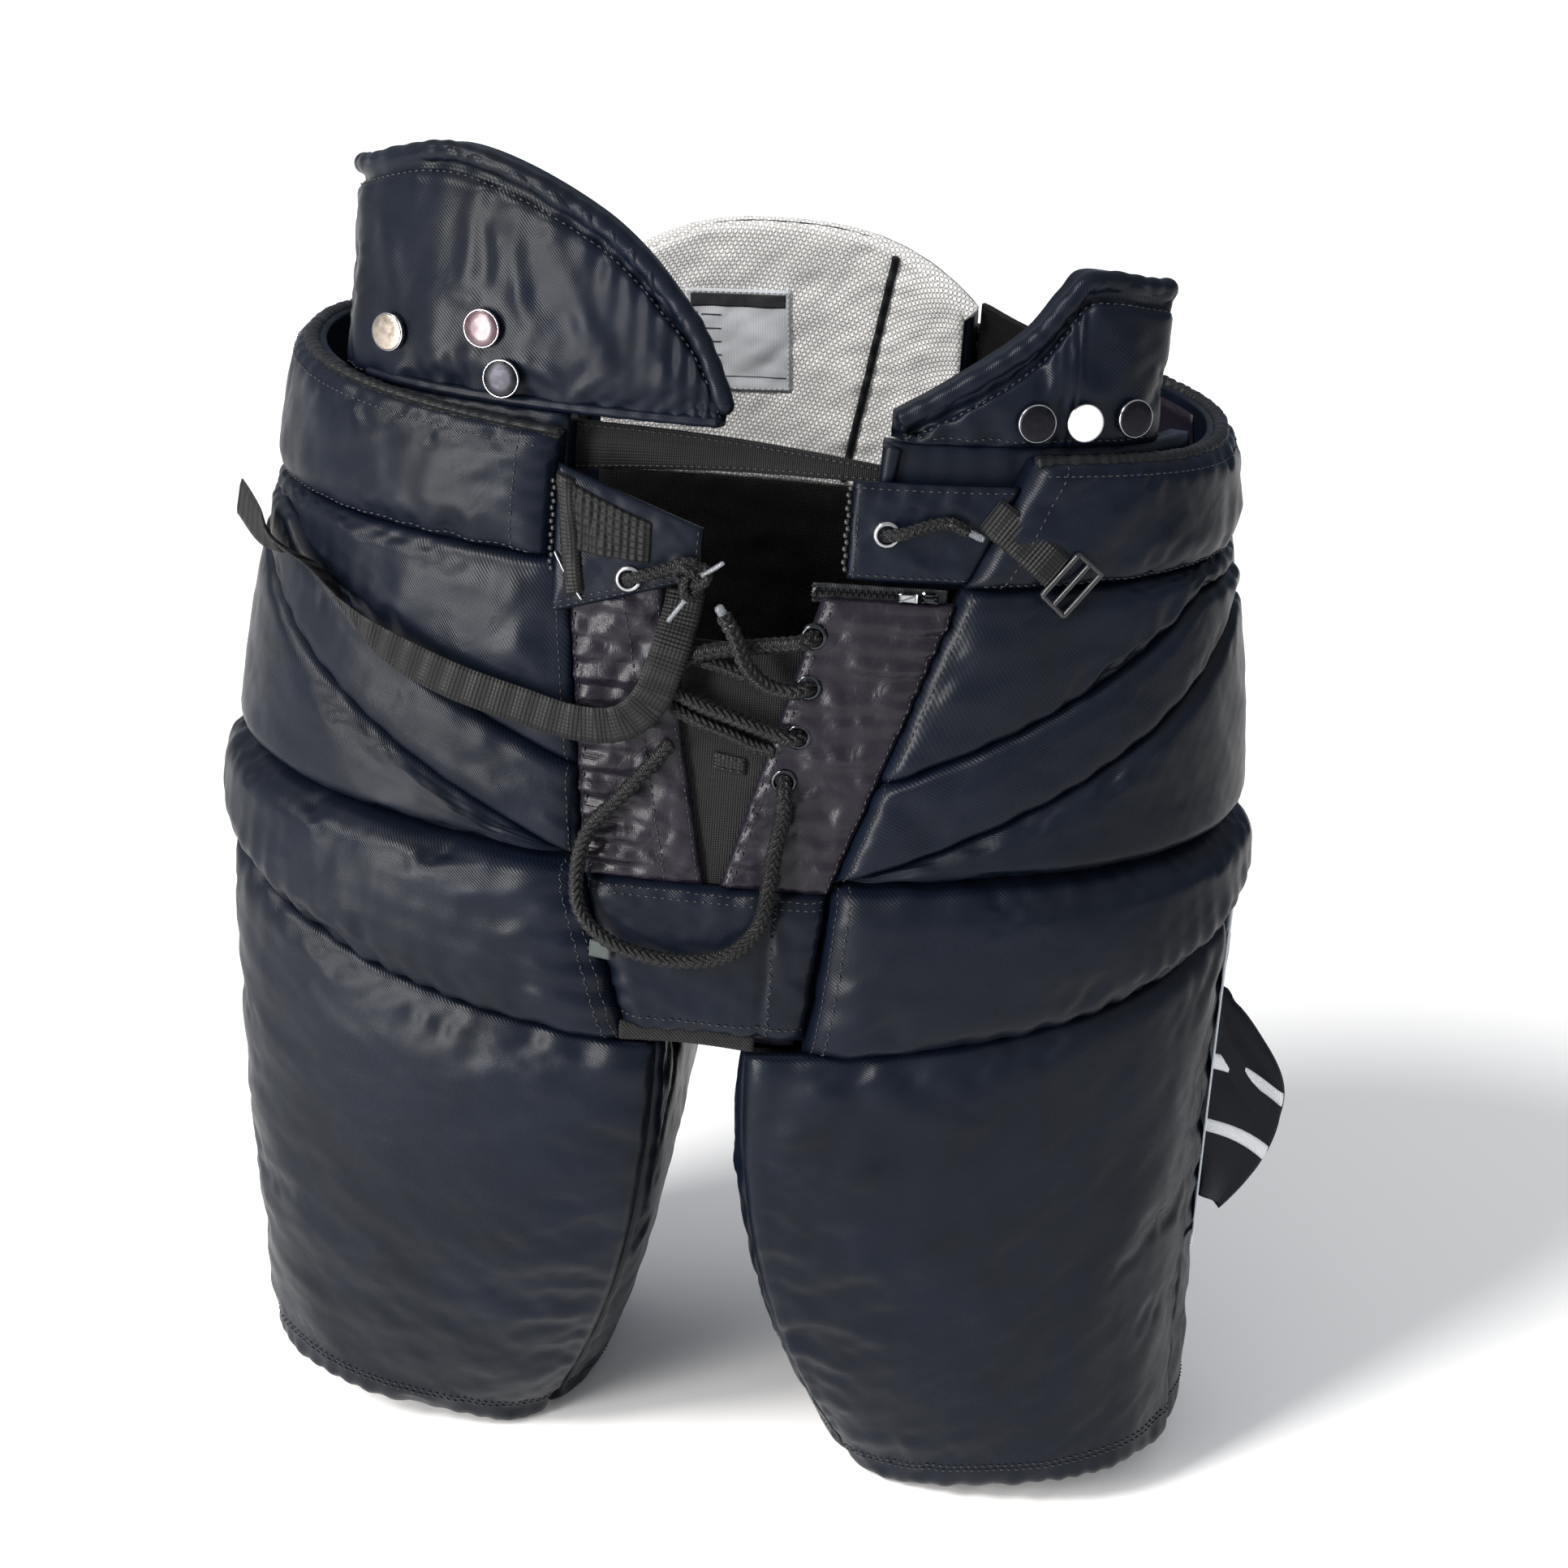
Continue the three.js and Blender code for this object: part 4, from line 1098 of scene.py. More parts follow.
class PANTS_OT_cords(Maker, bpy.types.Operator):
    """Make the laces and the loose webbing strap"""

    bl_idname = "hockey_pants.cords"
    bl_label = "Laces and loose strap"

    def make(self, look, sizes):
        for name, route in LACES.items():
            diameter = WAIST_LACE if "waist" in name else LACE
            line = smooth_line(laid(route), 60)
            line = even_line(line, max(60, int(line_length(line) / 0.72)))
            if name == "fly_lace":
                mould = Mould()
                rod(mould, line, LACE / 2, 30, braid(line, LACE))
                inner = smooth_line(
                    laid([(-24, 492, -0.5), (-12, 487, 1.8), (6, 480, -1.2), (20, 474, -2.2), (30, 473, -0.4)]), 90)
                rod(mould, inner, 3.5, 30, braid(inner, 7.0))
                high = smooth_line(laid([(-26, 521, 0.4), (-14, 519, -0.2), (0, 516, -0.6), (12, 512, -1.2)]), 70)
                rod(mould, high, 3.5, 30, braid(high, 7.0))
                mould.keep(name, look["lace"], "torso", "lace_cord")
                continue
            piece = lace_tube(name, line, diameter, look)
            path = [tuple(p) for p in metres(smooth_line(laid(route), 40))]
            pieces, far_end = [], "object"
            if name == "fly_lace_end":
                pieces, far_end = [tip("fly_lace_tip", line[0], line[12], look, 2.6, 12)], "fitting"
            if name == "left_waist_lace":
                pieces, far_end = [tip("left_waist_lace_tip", line[-1], line[-12], look, 2.0, 20)], "fitting"
            if name == "right_waist_lace":
                middle = front_point(-17, 563, 7.5)
                pieces = [knot("right_waist_knot", middle, 8.6, look)]
                for number, (start, end) in enumerate(
                    (((-16, 558, 9), (-24, 546, 10)), ((-12, 566, 9), (-6, 571, 11)))):
                    a, b = front_point(*start), front_point(*end)
                    pieces.append(tip(f"right_waist_tip_{number + 1}", b, a, look, 1.3, 14))
                far_end = "knot"
            leaves = route[0] if "waist" in name else route[-1]
            spot(front_point(*leaves))
            line_length(line) / 1000
            "loose" if "waist" in name or "end" in name else "hanging"
            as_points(path)
            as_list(pieces)
        line = smooth_line(laid(STRAP), 50)
        turns = np.interp(np.linspace(0, 1, 50), np.linspace(0, 1, len(STRAP)), [point[3] for point in STRAP])
        line = np.hstack([line, turns[:, None]])
        fine = even_line(line, int(line_length(line) / 0.6))
        way = np.gradient(fine[:, :3], axis=0)
        way = unit(way)
        out = front_normal(fine[:, 0], fine[:, 2])
        across = np.cross(out, way)
        across = unit(across)
        face = np.cross(way, across)
        turn = np.radians(np.convolve(np.pad(fine[:, 3], 30, mode="edge"), np.ones(61) / 61, "valid"))[:, None]
        wide = across * np.cos(turn) + face * np.sin(turn)
        mould = Mould()
        ribbon(mould, fine[:, :3], wide, np.cross(way, wide), 20, 1.5, 0.3, 2.5)
        strap = mould.keep("loose_strap", look["webbing"], "torso", "webbing")
        spot(fine[-1, :3])
        line_length(fine) / 1000
        [tuple(p) for p in metres(even_line(fine[:, :3], 40))]


# ---------------------------------------------------------------- body panels
def fly_start(side, low, high, v):
    first = np.full(v.shape, 16.0)
    for _ in range(8):
        start = lerp(low(first), high(first), v)
        first = angle_at(fly_seam(side, start) + 0.8, start)
    return first


def hip_place(side, low, high):
    def place(u, v, offset):
        across = u if side > 0 else 1 - u
        angle = lerp(fly_start(side, low, high, v), 90, across)
        z = lerp(low(angle) + 0.4, high(angle) - 0.4, v)
        return body_point(side * angle, z, offset)
    return place


def belt_place(side):
    def place(u, v, offset):
        across = u if side > 0 else 1 - u
        first = np.full(v.shape, 30.0)
        for _ in range(8):
            start = lerp(belt_bottom(first), belt_top(first, side), v)
            first = angle_at(belt_front(side, start), start)
        angle = lerp(first, 179.9, across)
        return body_point(side * angle, lerp(belt_bottom(angle) + 0.4, belt_top(angle, side), v), offset)
    return place


def ruffled(edges, folds=(), crumpled=0.35, size=34, seed=1, axes=(0, 2)):
    """Relief for a panel: puckers on the named edges, folds, and a slight unevenness.
    edges maps low, high, first or last to (height, spacing, reach) of the puckers."""
    order = ("low", "high", "first", "last")
    def relief(panel, u, v, face):
        total = crumpled * uneven(face, size, seed) + 0.35 * crumpled * uneven(face, size / 2.6, seed + 7)
        away = panel.measures(u, v)
        for name, (height, pitch, reach) in edges.items():
            number = order.index(name)
            along = u * panel.widths.mean() if number < 2 else v * panel.heights.mean()
            total = total + puckers(along, away[number], height, pitch, reach, seed + number)
        if folds:
            total = total + drape(face, folds, axes)
        rim = np.clip(np.minimum.reduce(away) / 2.5, 0.15, 1)
        return total * rim
    return relief


def edge_stitches(mould, panel, edge, inset, pitch, **kwargs):
    """A row of stitches at a fixed distance inside one edge of a panel."""
    t = np.linspace(0.01, 0.99, 160)
    if edge in ("low", "high"):
        tall = np.interp(t, panel.grid, panel.heights)
        share = np.clip(inset / np.maximum(tall, 1), 0, 0.9)
        u, v = t, share if edge == "low" else 1 - share
    else:
        wide = np.interp(t, panel.grid, panel.widths)
        share = np.clip(inset / np.maximum(wide, 1), 0, 0.9)
        u, v = (share, t) if edge == "first" else (1 - share, t)
    points, normals = panel.at(u, v)
    stitch_row(mould, points, normals, pitch=pitch, **kwargs)


class PANTS_OT_hips(Maker, bpy.types.Operator):
    """Make the six padded hip panels and the bulging pads above the thighs"""

    bl_idname = "hockey_pants.hips"
    bl_label = "Hip panels and upper thigh pads"

    def make(self, look, sizes):
        p = sizes.pucker * 1000
        stitch = sizes.stitch * 1000
        hips, pads = [], []
        for side, word in SIDES.items():
            fly = "last" if side < 0 else "first"
            upper = {"low": (0.9 * p, 19, 13), fly: (1.4 * p, 15, 22)}
            folds_up = (
                [
                    ((-105, 560), (-128, 520), 8, 1.4, 3), ((-86, 548), (-120, 490), 9, 1.5, -4),
                    ((-150, 560), (-215, 500), 15, 1.6, 6)]
                if side < 0
                else [
                    ((105, 552), (150, 530), 8, 1.2, 3), ((160, 556), (235, 540), 12, 1.6, 5),
                    ((96, 520), (140, 505), 8, 1.1, -3)])
            hips.append(
                (
                    Panel(
                        f"{word}_hip_upper_panel", hip_place(side, upper_seam, belt_bottom), -12, 3,
                        (-3, -5, -4, -2), (9, 14, 10, 12), 3.0, ruffled(upper, folds_up, 0.5, 42, 3 + side)),
                    f"{word}_hip_upper_panel"))
            middle = {"high": (0.7 * p, 23, 9), "low": (0.7 * p, 21, 8), fly: (1.3 * p, 12, 18)}
            folds_mid = [
                ((-80, 428), (-150, 452), 5, 1.2, 3), ((-90, 418), (-130, 436), 4, 0.9, -2)
            ] if side < 0 else [((84, 430), (150, 470), 5, 1.0, -3)]
            hips.append(
                (
                    Panel(
                        f"{word}_hip_middle_panel", hip_place(side, middle_seam, upper_seam), -12, 4,
                        (-3, -3, -4, -2), (7.5, 7.5, 10, 12), 3.0, ruffled(middle, folds_mid, 0.35, 36, 5 + side)),
                    f"{word}_hip_middle_panel"))
            lower = {"high": (0.7 * p, 22, 9), fly: (1.2 * p, 12, 20)}
            hips.append(
                (
                    Panel(
                        f"{word}_hip_lower_panel", hip_place(side, lower_seam, middle_seam), -12, 5,
                        (-10, -3, -4, -2), (12, 8, 10, 12), 3.0, ruffled(lower, (), 0.4, 40, 9 + side)),
                    f"{word}_hip_lower_panel"))
            pad = {"low": (1.3 * p, 17, 18), "high": (1.0 * p, 24, 12), fly: (1.8 * p, 13, 26)}
            if side < 0:
                folds = [
                    ((-78, 392), (-140, 378), 5, 1.6, 2), ((-74, 372), (-112, 352), 6, 1.7, -3),
                    ((-80, 330), (-120, 318), 6, 1.4, 2), ((-250, 330), (-170, 312), 8, 1.3, -4)]
            else:
                folds = [
                    ((74, 320), (130, 345), 6, 1.8, 3), ((72, 338), (104, 372), 5, 1.5, -2),
                    ((70, 306), (120, 312), 5, 1.4, 2), ((232, 352), (180, 330), 8, 1.2, 4)]
            pads.append(
                (
                    Panel(
                        f"{word}_upper_thigh_pad", hip_place(side, leg_seam, lower_seam), -12, 9, (-4, -10, -5, -3),
                        (22, 19, 18, 24), 3.0, ruffled(pad, folds, 0.6, 48, 13 + side)),
                    f"{word}_upper_thigh_pad"))
        fill_out([panel for panel, _ in hips], sizes.pressure, 0.006, 4)
        fill_out([panel for panel, _ in pads], sizes.pressure * 0.9, 0.010, 5)
        for panel, cad in hips + pads:
            panel.piece(look["satin"], padded=0.7)
        for side, word in SIDES.items():
            mould = Mould()
            for panel, cad in hips + pads:
                if cad.startswith(word):
                    edge_stitches(mould, panel, "last" if side < 0 else "first", 3.2, stitch)
                    if "thigh" in cad:
                        edge_stitches(mould, panel, "last" if side < 0 else "first", 7, 3.4, zigzag=0.8)
            mould.keep(f"{word}_hip_stitches", look["thread"])


class PANTS_OT_belts(Maker, bpy.types.Operator):
    """Make the two waist belts with their bound top edges"""

    bl_idname = "hockey_pants.belts"
    bl_label = "Waist belts"

    def make(self, look, sizes):
        p = sizes.pucker * 1000
        made = []
        for side, word in SIDES.items():
            front = "last" if side < 0 else "first"
            folds = (
                [
                    ((-105, 622), (-150, 600), 6, 1.0, 2), ((-130, 575), (-190, 580), 8, 1.3, 3),
                    ((-185, 618), (-230, 600), 9, 1.1, -3)]
                if side < 0
                else [
                    ((168, 566), (215, 622), 8, 1.8, 4), ((190, 562), (238, 608), 7, 1.7, -3),
                    ((210, 566), (246, 590), 6, 1.4, 2), ((150, 620), (200, 634), 7, 1.0, 0)])
            relief = ruffled(
                {"low": (1.1 * p, 21, 15), "high": (0.7 * p, 18, 9), front: (1.0 * p, 13, 14)}, folds, 0.5, 44,
                21 + side)
            made.append(
                Panel(
                    f"{word}_waist_belt", belt_place(side), -12, 4, (-3, -2, -3, -3), (17, 12, 9, 12), 3.1, relief))
        fill_out(made, sizes.pressure * 0.8, 0.012, 4)
        for side, belt in zip(SIDES, made):
            word = SIDES[side]
            belt.piece(look["satin"], padded=0.6)
            t = np.linspace(0, 1, 420)
            roll, thread = Mould(), Mould()
            radius = sizes.belt_roll * 1000
            line = belt.place(t, np.ones_like(t), np.full_like(t, -4.5))
            line[:, 2] += 0.4 - 0.3 * radius
            size = radius * (1 + 0.09 * np.sin(t * 460 + 2 * np.sin(t * 61)) + 0.05 * np.sin(t * 173))
            rod(roll, line, size, 14, squash=1.25, up=(0, 1, 0))
            roll.keep(f"{word}_belt_roll", look["binding"])
            front = "last" if side < 0 else "first"
            edge_stitches(thread, belt, front, 14, sizes.stitch * 1000)
            edge_stitches(thread, belt, "high", 7, sizes.stitch * 1000)
            edge_stitches(thread, belt, "low", 3, sizes.stitch * 1000)
            thread.keep(f"{word}_belt_stitches", look["thread"])


class PANTS_OT_seat(Maker, bpy.types.Operator):
    """Make the seat and the liners that reach from it into the legs"""

    bl_idname = "hockey_pants.seat"
    bl_label = "Seat and leg liners"

    def make(self, look, sizes):
        p = sizes.pucker * 1000
        def place(u, v, offset):
            angle = lerp(90.3, 269.7, u)
            from_back = np.where(angle > 180, angle - 360, angle)
            z = lerp(leg_seam(from_back) + 0.4, belt_bottom(from_back) - 0.4, v)
            return body_point(angle, z, offset)
        folds = [
            ((-60, 520), (-170, 470), 14, 1.6, 8), ((40, 515), (160, 480), 13, 1.5, -7),
            ((-30, 380), (-150, 430), 12, 1.6, 5), ((35, 372), (150, 425), 12, 1.5, -5)]
        def relief(panel, u, v, face):
            middle = np.exp(-((face[..., 0] / 3.5) ** 2))
            yoke = np.exp(-(((face[..., 2] - 500 + 0.0006 * face[..., 0] ** 2) / 2.6) ** 2))
            soft = ruffled(
                {"low": (1.3 * p, 18, 18), "high": (1.1 * p, 20, 18)}, folds, 0.8, 52, 33)(panel, u, v, face)
            gathers = puckers(face[..., 2], np.abs(face[..., 0]), 1.2 * p, 14, 16, 5)
            return soft + gathers - 4.5 * middle - 2.6 * yoke
        seat = Panel("seat_panel", place, -12, 2, (-4, -4, -3, -3), (24, 20, 14, 14), 3.6, relief)
        fill_out([seat], sizes.pressure * 0.8, 0.012, 5, 7.5)
        seat.piece(look["satin"], padded=0.5)
        thread = Mould()
        for inset in (3.5, 7.5):
            edge_stitches(thread, seat, "high", inset, sizes.stitch * 1000)
        rows, columns = seat.face.shape[:2]
        middle = columns // 2
        for side in (-1, 1):
            column = middle + 2 * side
            stitch_row(thread, seat.face[2:-2, column], seat.normal[2:-2, column], sizes.stitch * 1000)
        thread.keep("seat_stitches", look["thread"])
        for side, word, part, start, end, least, shift, top, foot in (
            (side, word, *row) for side,
            word in SIDES.items() for row in (
                ("leg_liner", 0.45, 0.985, 0.70, 0, 336, 236), ("front_liner", 0.05, 0.47, 0.95, -3.4, 334, 304))):
            leg = LEGS[side]
            def liner(u, v, offset, leg=leg, side=side, start=start, end=end, least=least, shift=shift):
                around, offset = lerp(start, end, u if side > 0 else 1 - u), offset + shift
                low = outside_point(leg, around, lerp(least, 1, v / 0.5 * (v < 0.5) + (v >= 0.5)), offset)
                angle = leg["side"] * lerp(WALL_ANGLE, 180 - WALL_ANGLE, around)
                seam = leg_seam(angle)
                high = body_point(angle, lerp(seam, seam + 60, np.clip((v - 0.5) / 0.5, 0, 1)), offset)
                return np.where((v < 0.5)[..., None], low, high)
            band = Panel(f"{word}_{part}", liner, -16.4, -14.2, (-14.4,) * 4, 8, 5, ruffled({}, (), 0.25, 30, 44))
            piece = band.piece(look["thin"], None, slot="thin_nylon")
            spot((side * 120, 60, top))
            spot((side * 130, 60, foot))
            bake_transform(piece)


class PANTS_OT_legs(Maker, bpy.types.Operator):
    """Make the thigh pads, the back and inner leg panels, the hems and the plates in the thighs"""

    bl_idname = "hockey_pants.legs"
    bl_label = "Legs"

    def make(self, look, sizes):
        p = sizes.pucker * 1000
        made = []
        for side, word in SIDES.items():
            leg = LEGS[side]
            def outside(start, end, leg=leg, side=side):
                return lambda u, v, offset: outside_point(
                    leg, lerp(start, end, u if side > 0 else 1 - u), v, offset)
            def inside(u, v, offset, leg=leg, side=side):
                return inside_point(leg, 1 - u if side > 0 else u, v, offset)
            inner = "last" if side < 0 else "first"
            if side < 0:
                folds = [
                    ((-35, 250), (-110, 292), 9, 2.2, 5), ((-48, 232), (-104, 246), 8, 1.8, -4),
                    ((-62, 286), (-150, 262), 10, 1.8, 6), ((-140, 268), (-60, 300), 7, 1.4, -3),
                    ((-60, 40), (-150, 78), 12, 1.3, 6), ((-210, 30), (-250, 120), 14, 1.2, -8)]
            else:
                folds = [
                    ((44, 268), (120, 296), 8, 2.4, 4), ((36, 244), (88, 282), 9, 2.2, -4),
                    ((52, 208), (120, 240), 10, 1.9, 6), ((70, 150), (150, 190), 12, 1.5, 7),
                    ((90, 282), (170, 268), 9, 1.7, -4), ((90, 30), (150, 44), 8, 1.3, 3),
                    ((230, 120), (262, 240), 15, 1.2, 8)]
            relief = ruffled(
                {"high": (1.5 * p, 21, 22), "low": (0.8 * p, 16, 13), inner: (1.0 * p, 26, 18)}, folds, 0.8, 60,
                51 + side)
            made.append(
                (
                    Panel(
                        f"{word}_thigh_pad", outside(0.004, 0.42), -16, 3, (-2.5, -4, -4, -3), (9, 18, 22, 16), 3.3,
                        relief),
                    f"{word}_thigh_pad"))
            relief = ruffled(
                {"high": (1.3 * p, 20, 20), "low": (0.7 * p, 16, 12)},
                [
                    ((60 * side, 230), (200 * side, 190), 16, 1.6, 8),
                    ((80 * side, 90), (220 * side, 120), 16, 1.5, -8)],
                0.9, 58, 61 + side)
            made.append(
                (
                    Panel(
                        f"{word}_leg_back_panel", outside(0.424, 0.996), -8, 0, (-2, -3, -3, -3), (9, 14, 12, 12),
                        3.8, relief),
                    f"{word}_leg_back_panel"))
            relief = ruffled(
                {"high": (1.1 * p, 18, 16), "first": (0.7 * p, 22, 12), "last": (0.7 * p, 22, 12)},
                [((-60, 60), (40, 120), 12, 1.5, 6), ((-50, 200), (50, 170), 12, 1.6, -6)], 0.8, 50, 71 + side,
                axes=(1, 2))
            made.append(
                (
                    Panel(f"{word}_leg_inner_panel", inside, -8, 0, (-2, -3, -3, -3), (9, 12, 12, 12), 3.8, relief),
                    f"{word}_leg_inner_panel"))
        fill_out([panel for panel, cad in made if "thigh" in cad], sizes.pressure * 1.1, 0.009, 6, 7.5)
        fill_out([panel for panel, cad in made if "thigh" not in cad], sizes.pressure * 0.5, 0.012, 4, 8)
        for panel, cad in made:
            body = cad.split("_")[0] + "_leg"
            panel.piece(look["satin"], body, padded=0.8 if "thigh" in cad else 0.3)
        for side, word in SIDES.items():
            leg, body = LEGS[side], f"{word}_leg"
            band, thread = Mould(), Mould()
            for panel, cad in made:
                if not cad.startswith(word):
                    continue
                t = np.linspace(0.004, 0.996, 220)
                low, out = panel.at(t, np.zeros_like(t))
                tall = np.interp(t, panel.grid, panel.heights)
                size = 2.2 + 0.25 * np.sin(t * 240 + 2 * np.sin(t * 40))
                line = low + out * -2.4
                line[:, 2] += 2.4
                rod(band, line, size, 12, squash=1.0, up=(0, 0, 1))
                for inset in ((18, 21.5) if "thigh" in cad else (18,)):
                    points, normals = panel.at(t, np.clip(inset / tall, 0, 1))
                    stitch_row(thread, points, normals, sizes.stitch * 1000)
            band.keep(f"{word}_hem_binding", look["binding"], body)
            thread.keep(f"{word}_hem_stitches", look["thread"], body)
            plate = Panel(f"{word}_thigh_plate", lambda u, v, offset, leg=leg, side=side: outside_point(
                leg, lerp(0.07, 0.38, u if side > 0 else 1 - u), lerp(0.2, 0.93, v), offset),
                -19.6, -17.3, (-17.9,) * 4, 4, 5,
                lambda panel, u, v, face: -0.9 * (np.abs(np.sin(u * math.pi * 4)) < 0.12) * (v > 0.1) * (v < 0.9))
            plate.piece(look["guard"], body, "guard_plastic")


class PANTS_OT_fly(Maker, bpy.types.Operator):
    """Make the two plackets, the tongue behind them, the cup pocket and the crotch gusset"""

    bl_idname = "hockey_pants.fly"
    bl_label = "Fly and cup pocket"

    def make(self, look, sizes):
        p = sizes.pucker * 1000
        thread = Mould()
        pitch = sizes.stitch * 1000
        for side, word in SIDES.items():
            def place(u, v, offset, side=side):
                across = u if side > 0 else 1 - u
                z = lerp(FLY_BOTTOM_Z, PLACKET_TOP_Z, v)
                return front_point(side * lerp(fly_edge(side, z), fly_seam(side, z) - 0.4, across), z, offset)
            outer = "last" if side > 0 else "first"
            opening = "first" if side > 0 else "last"
            folds = (
                [
                    ((52, 546), (104, 540), 4, 2.2, 2), ((56, 526), (100, 522), 4, 2.0, -2),
                    ((54, 498), (96, 505), 4.5, 2.4, 2), ((48, 470), (92, 478), 4.5, 2.2, -2),
                    ((40, 445), (84, 452), 4, 1.5, 2), ((44, 425), (76, 420), 4, 1.3, -2)]
                if side > 0
                else [
                    ((-30, 536), (-80, 546), 4, 2.0, -2), ((-34, 505), (-82, 512), 5, 2.3, 2),
                    ((-30, 470), (-80, 478), 4.5, 2.2, -2), ((-20, 440), (-78, 446), 4.5, 2.1, 3),
                    ((-16, 415), (-70, 422), 4, 1.4, -2), ((-24, 462), (-40, 412), 5, 1.2, 2)])
            relief = ruffled({outer: (3.2 * p, 12, 26), opening: (1.6 * p, 13, 14)}, folds, 1.2, 22, 81 + side)
            panel = Panel(f"{word}_fly_placket", place, -6, -0.6, (-3,) * 4, (7, 7, 10, 10), 2.4, relief)
            panel.piece(look["thin"], "torso", "thin_nylon")
            for inset in ((2.4, 5.6) if side > 0 else (2.4, 20)):
                edge_stitches(thread, panel, opening, inset, pitch)
            edge_stitches(thread, panel, outer, 2.4, pitch)
        def tongue(u, v, offset):
            return front_point(lerp(-44, 44, u), lerp(FLY_BOTTOM_Z - 8, FLY_BOTTOM_Z + 132, v), offset)
        panel = Panel(
            "fly_tongue", tongue, -9.4, -6.9, (-8,) * 4, 8, 3,
            ruffled({}, [((-30, 500), (30, 470), 8, 0.5, 3)], 0.35, 30, 91))
        panel.piece(look["elastic"], "torso", "thin_nylon")
        def pocket(u, v, offset):
            z = lerp(CROTCH_Z + 12, FLY_BOTTOM_Z - 0.4, v)
            x = lerp(-fly_seam(-1, z) + 0.4, fly_seam(1, z) - 0.4, u)
            return front_point(x, z, offset)
        folds = [
            ((-46, 372), (-10, 352), 5, 1.5, 3), ((0, 348), (30, 372), 5, 1.4, -3),
            ((-50, 340), (-14, 330), 5, 1.2, 2), ((34, 386), (46, 330), 4, 1.4, 2),
            ((44, 350), (58, 330), 4, 1.5, 2)]
        def relief(panel, u, v, face):
            soft = ruffled(
                {
                    "high": (0.9 * p, 15, 12), "low": (1.0 * p, 14, 12), "first": (0.9 * p, 12, 12),
                    "last": (1.1 * p, 10, 12)},
                folds, 0.8, 26, 95)(panel, u, v, face)
            seam = np.exp(-(((face[..., 0] - 33 - 0.04 * (face[..., 2] - 340)) / 2.2) ** 2))
            return soft - 2.4 * seam
        panel = Panel("cup_pocket", pocket, -6.6, 5.5, (-3, -2.4, -4, -4), (26, 12, 16, 12), 2.6, relief)
        panel.piece(look["satin"], padded=0.4)
        for inset in (2.8, 6.4):
            edge_stitches(thread, panel, "high", inset, pitch)
        edge_stitches(thread, panel, "low", 9, pitch)
        t = np.linspace(0.05, 0.93, 80)
        points, normals = panel.at(np.full_like(t, 0.79), t)
        stitch_row(thread, points, normals, 3.6, zigzag=1.3)
        def gusset(u, v, offset):
            return points_of(lerp(-50, 50, u), lerp(-136, 136.6, 1 - v), CROTCH_Z + 3.2 - offset)
        panel = Panel("crotch_gusset", gusset, -8, 0, (-1,) * 4, 12, 4, ruffled({}, (), 0.5, 26, 99))
        panel.piece(look["thin"], "torso", "thin_nylon")
        def tape(u, v, offset):
            return front_point(lerp(-44, 30, u), lerp(300.5, 311, v) + 2 * np.sin(u * 3.1), offset)
        panel = Panel("hook_and_loop_tape", tape, -5, -1, (-2.4,) * 4, 3, 1.8, ruffled({}, (), 0.3, 9, 103))
        panel.piece(look["hook"], "torso", "thin_nylon")
        tag = Panel(
            "side_tag", lambda u, v, offset: front_point(lerp(-60, -48, u), lerp(351, 360, v), offset + 3 * u), 3.5,
            5, (4.6,) * 4, 2, 1.5, None)
        tag.piece(look["tag"], "torso", "webbing")
        loop = Panel(
            "tongue_loop", lambda u, v, offset: front_point(lerp(-2, 16, u), lerp(459, 468, v) - 2.5 * u, offset),
            -6.8, -4.8, (-5.6,) * 4, 2, 1.5, None)
        loop.piece(look["webbing"], "torso", "webbing")
        edge_stitches(thread, loop, "high", 1.6, pitch)
        edge_stitches(thread, loop, "low", 1.6, pitch)
        thread.keep("fly_stitches", look["thread"], slot="thin_nylon")


def curve_through(points, t):
    """An even spline over the points' own numbering, as a flap's top edge uses."""
    points = np.asarray(points, float)
    size = len(points)
    at = np.asarray(t, float) * (size - 1)
    low = np.clip(np.floor(at).astype(int), 0, size - 2)
    s = (at - low)[..., None]
    b, c = points[low], points[low + 1]
    a = np.where((low == 0)[..., None], b, points[np.maximum(low - 1, 0)])
    d = np.where((low >= size - 2)[..., None], c, points[np.minimum(low + 2, size - 1)])
    v0, v1 = (c - a) * 0.5, (d - b) * 0.5
    return (2 * b - 2 * c + v0 + v1) * s ** 3 + (-3 * b + 3 * c - 2 * v0 - v1) * s ** 2 + v0 * s + b


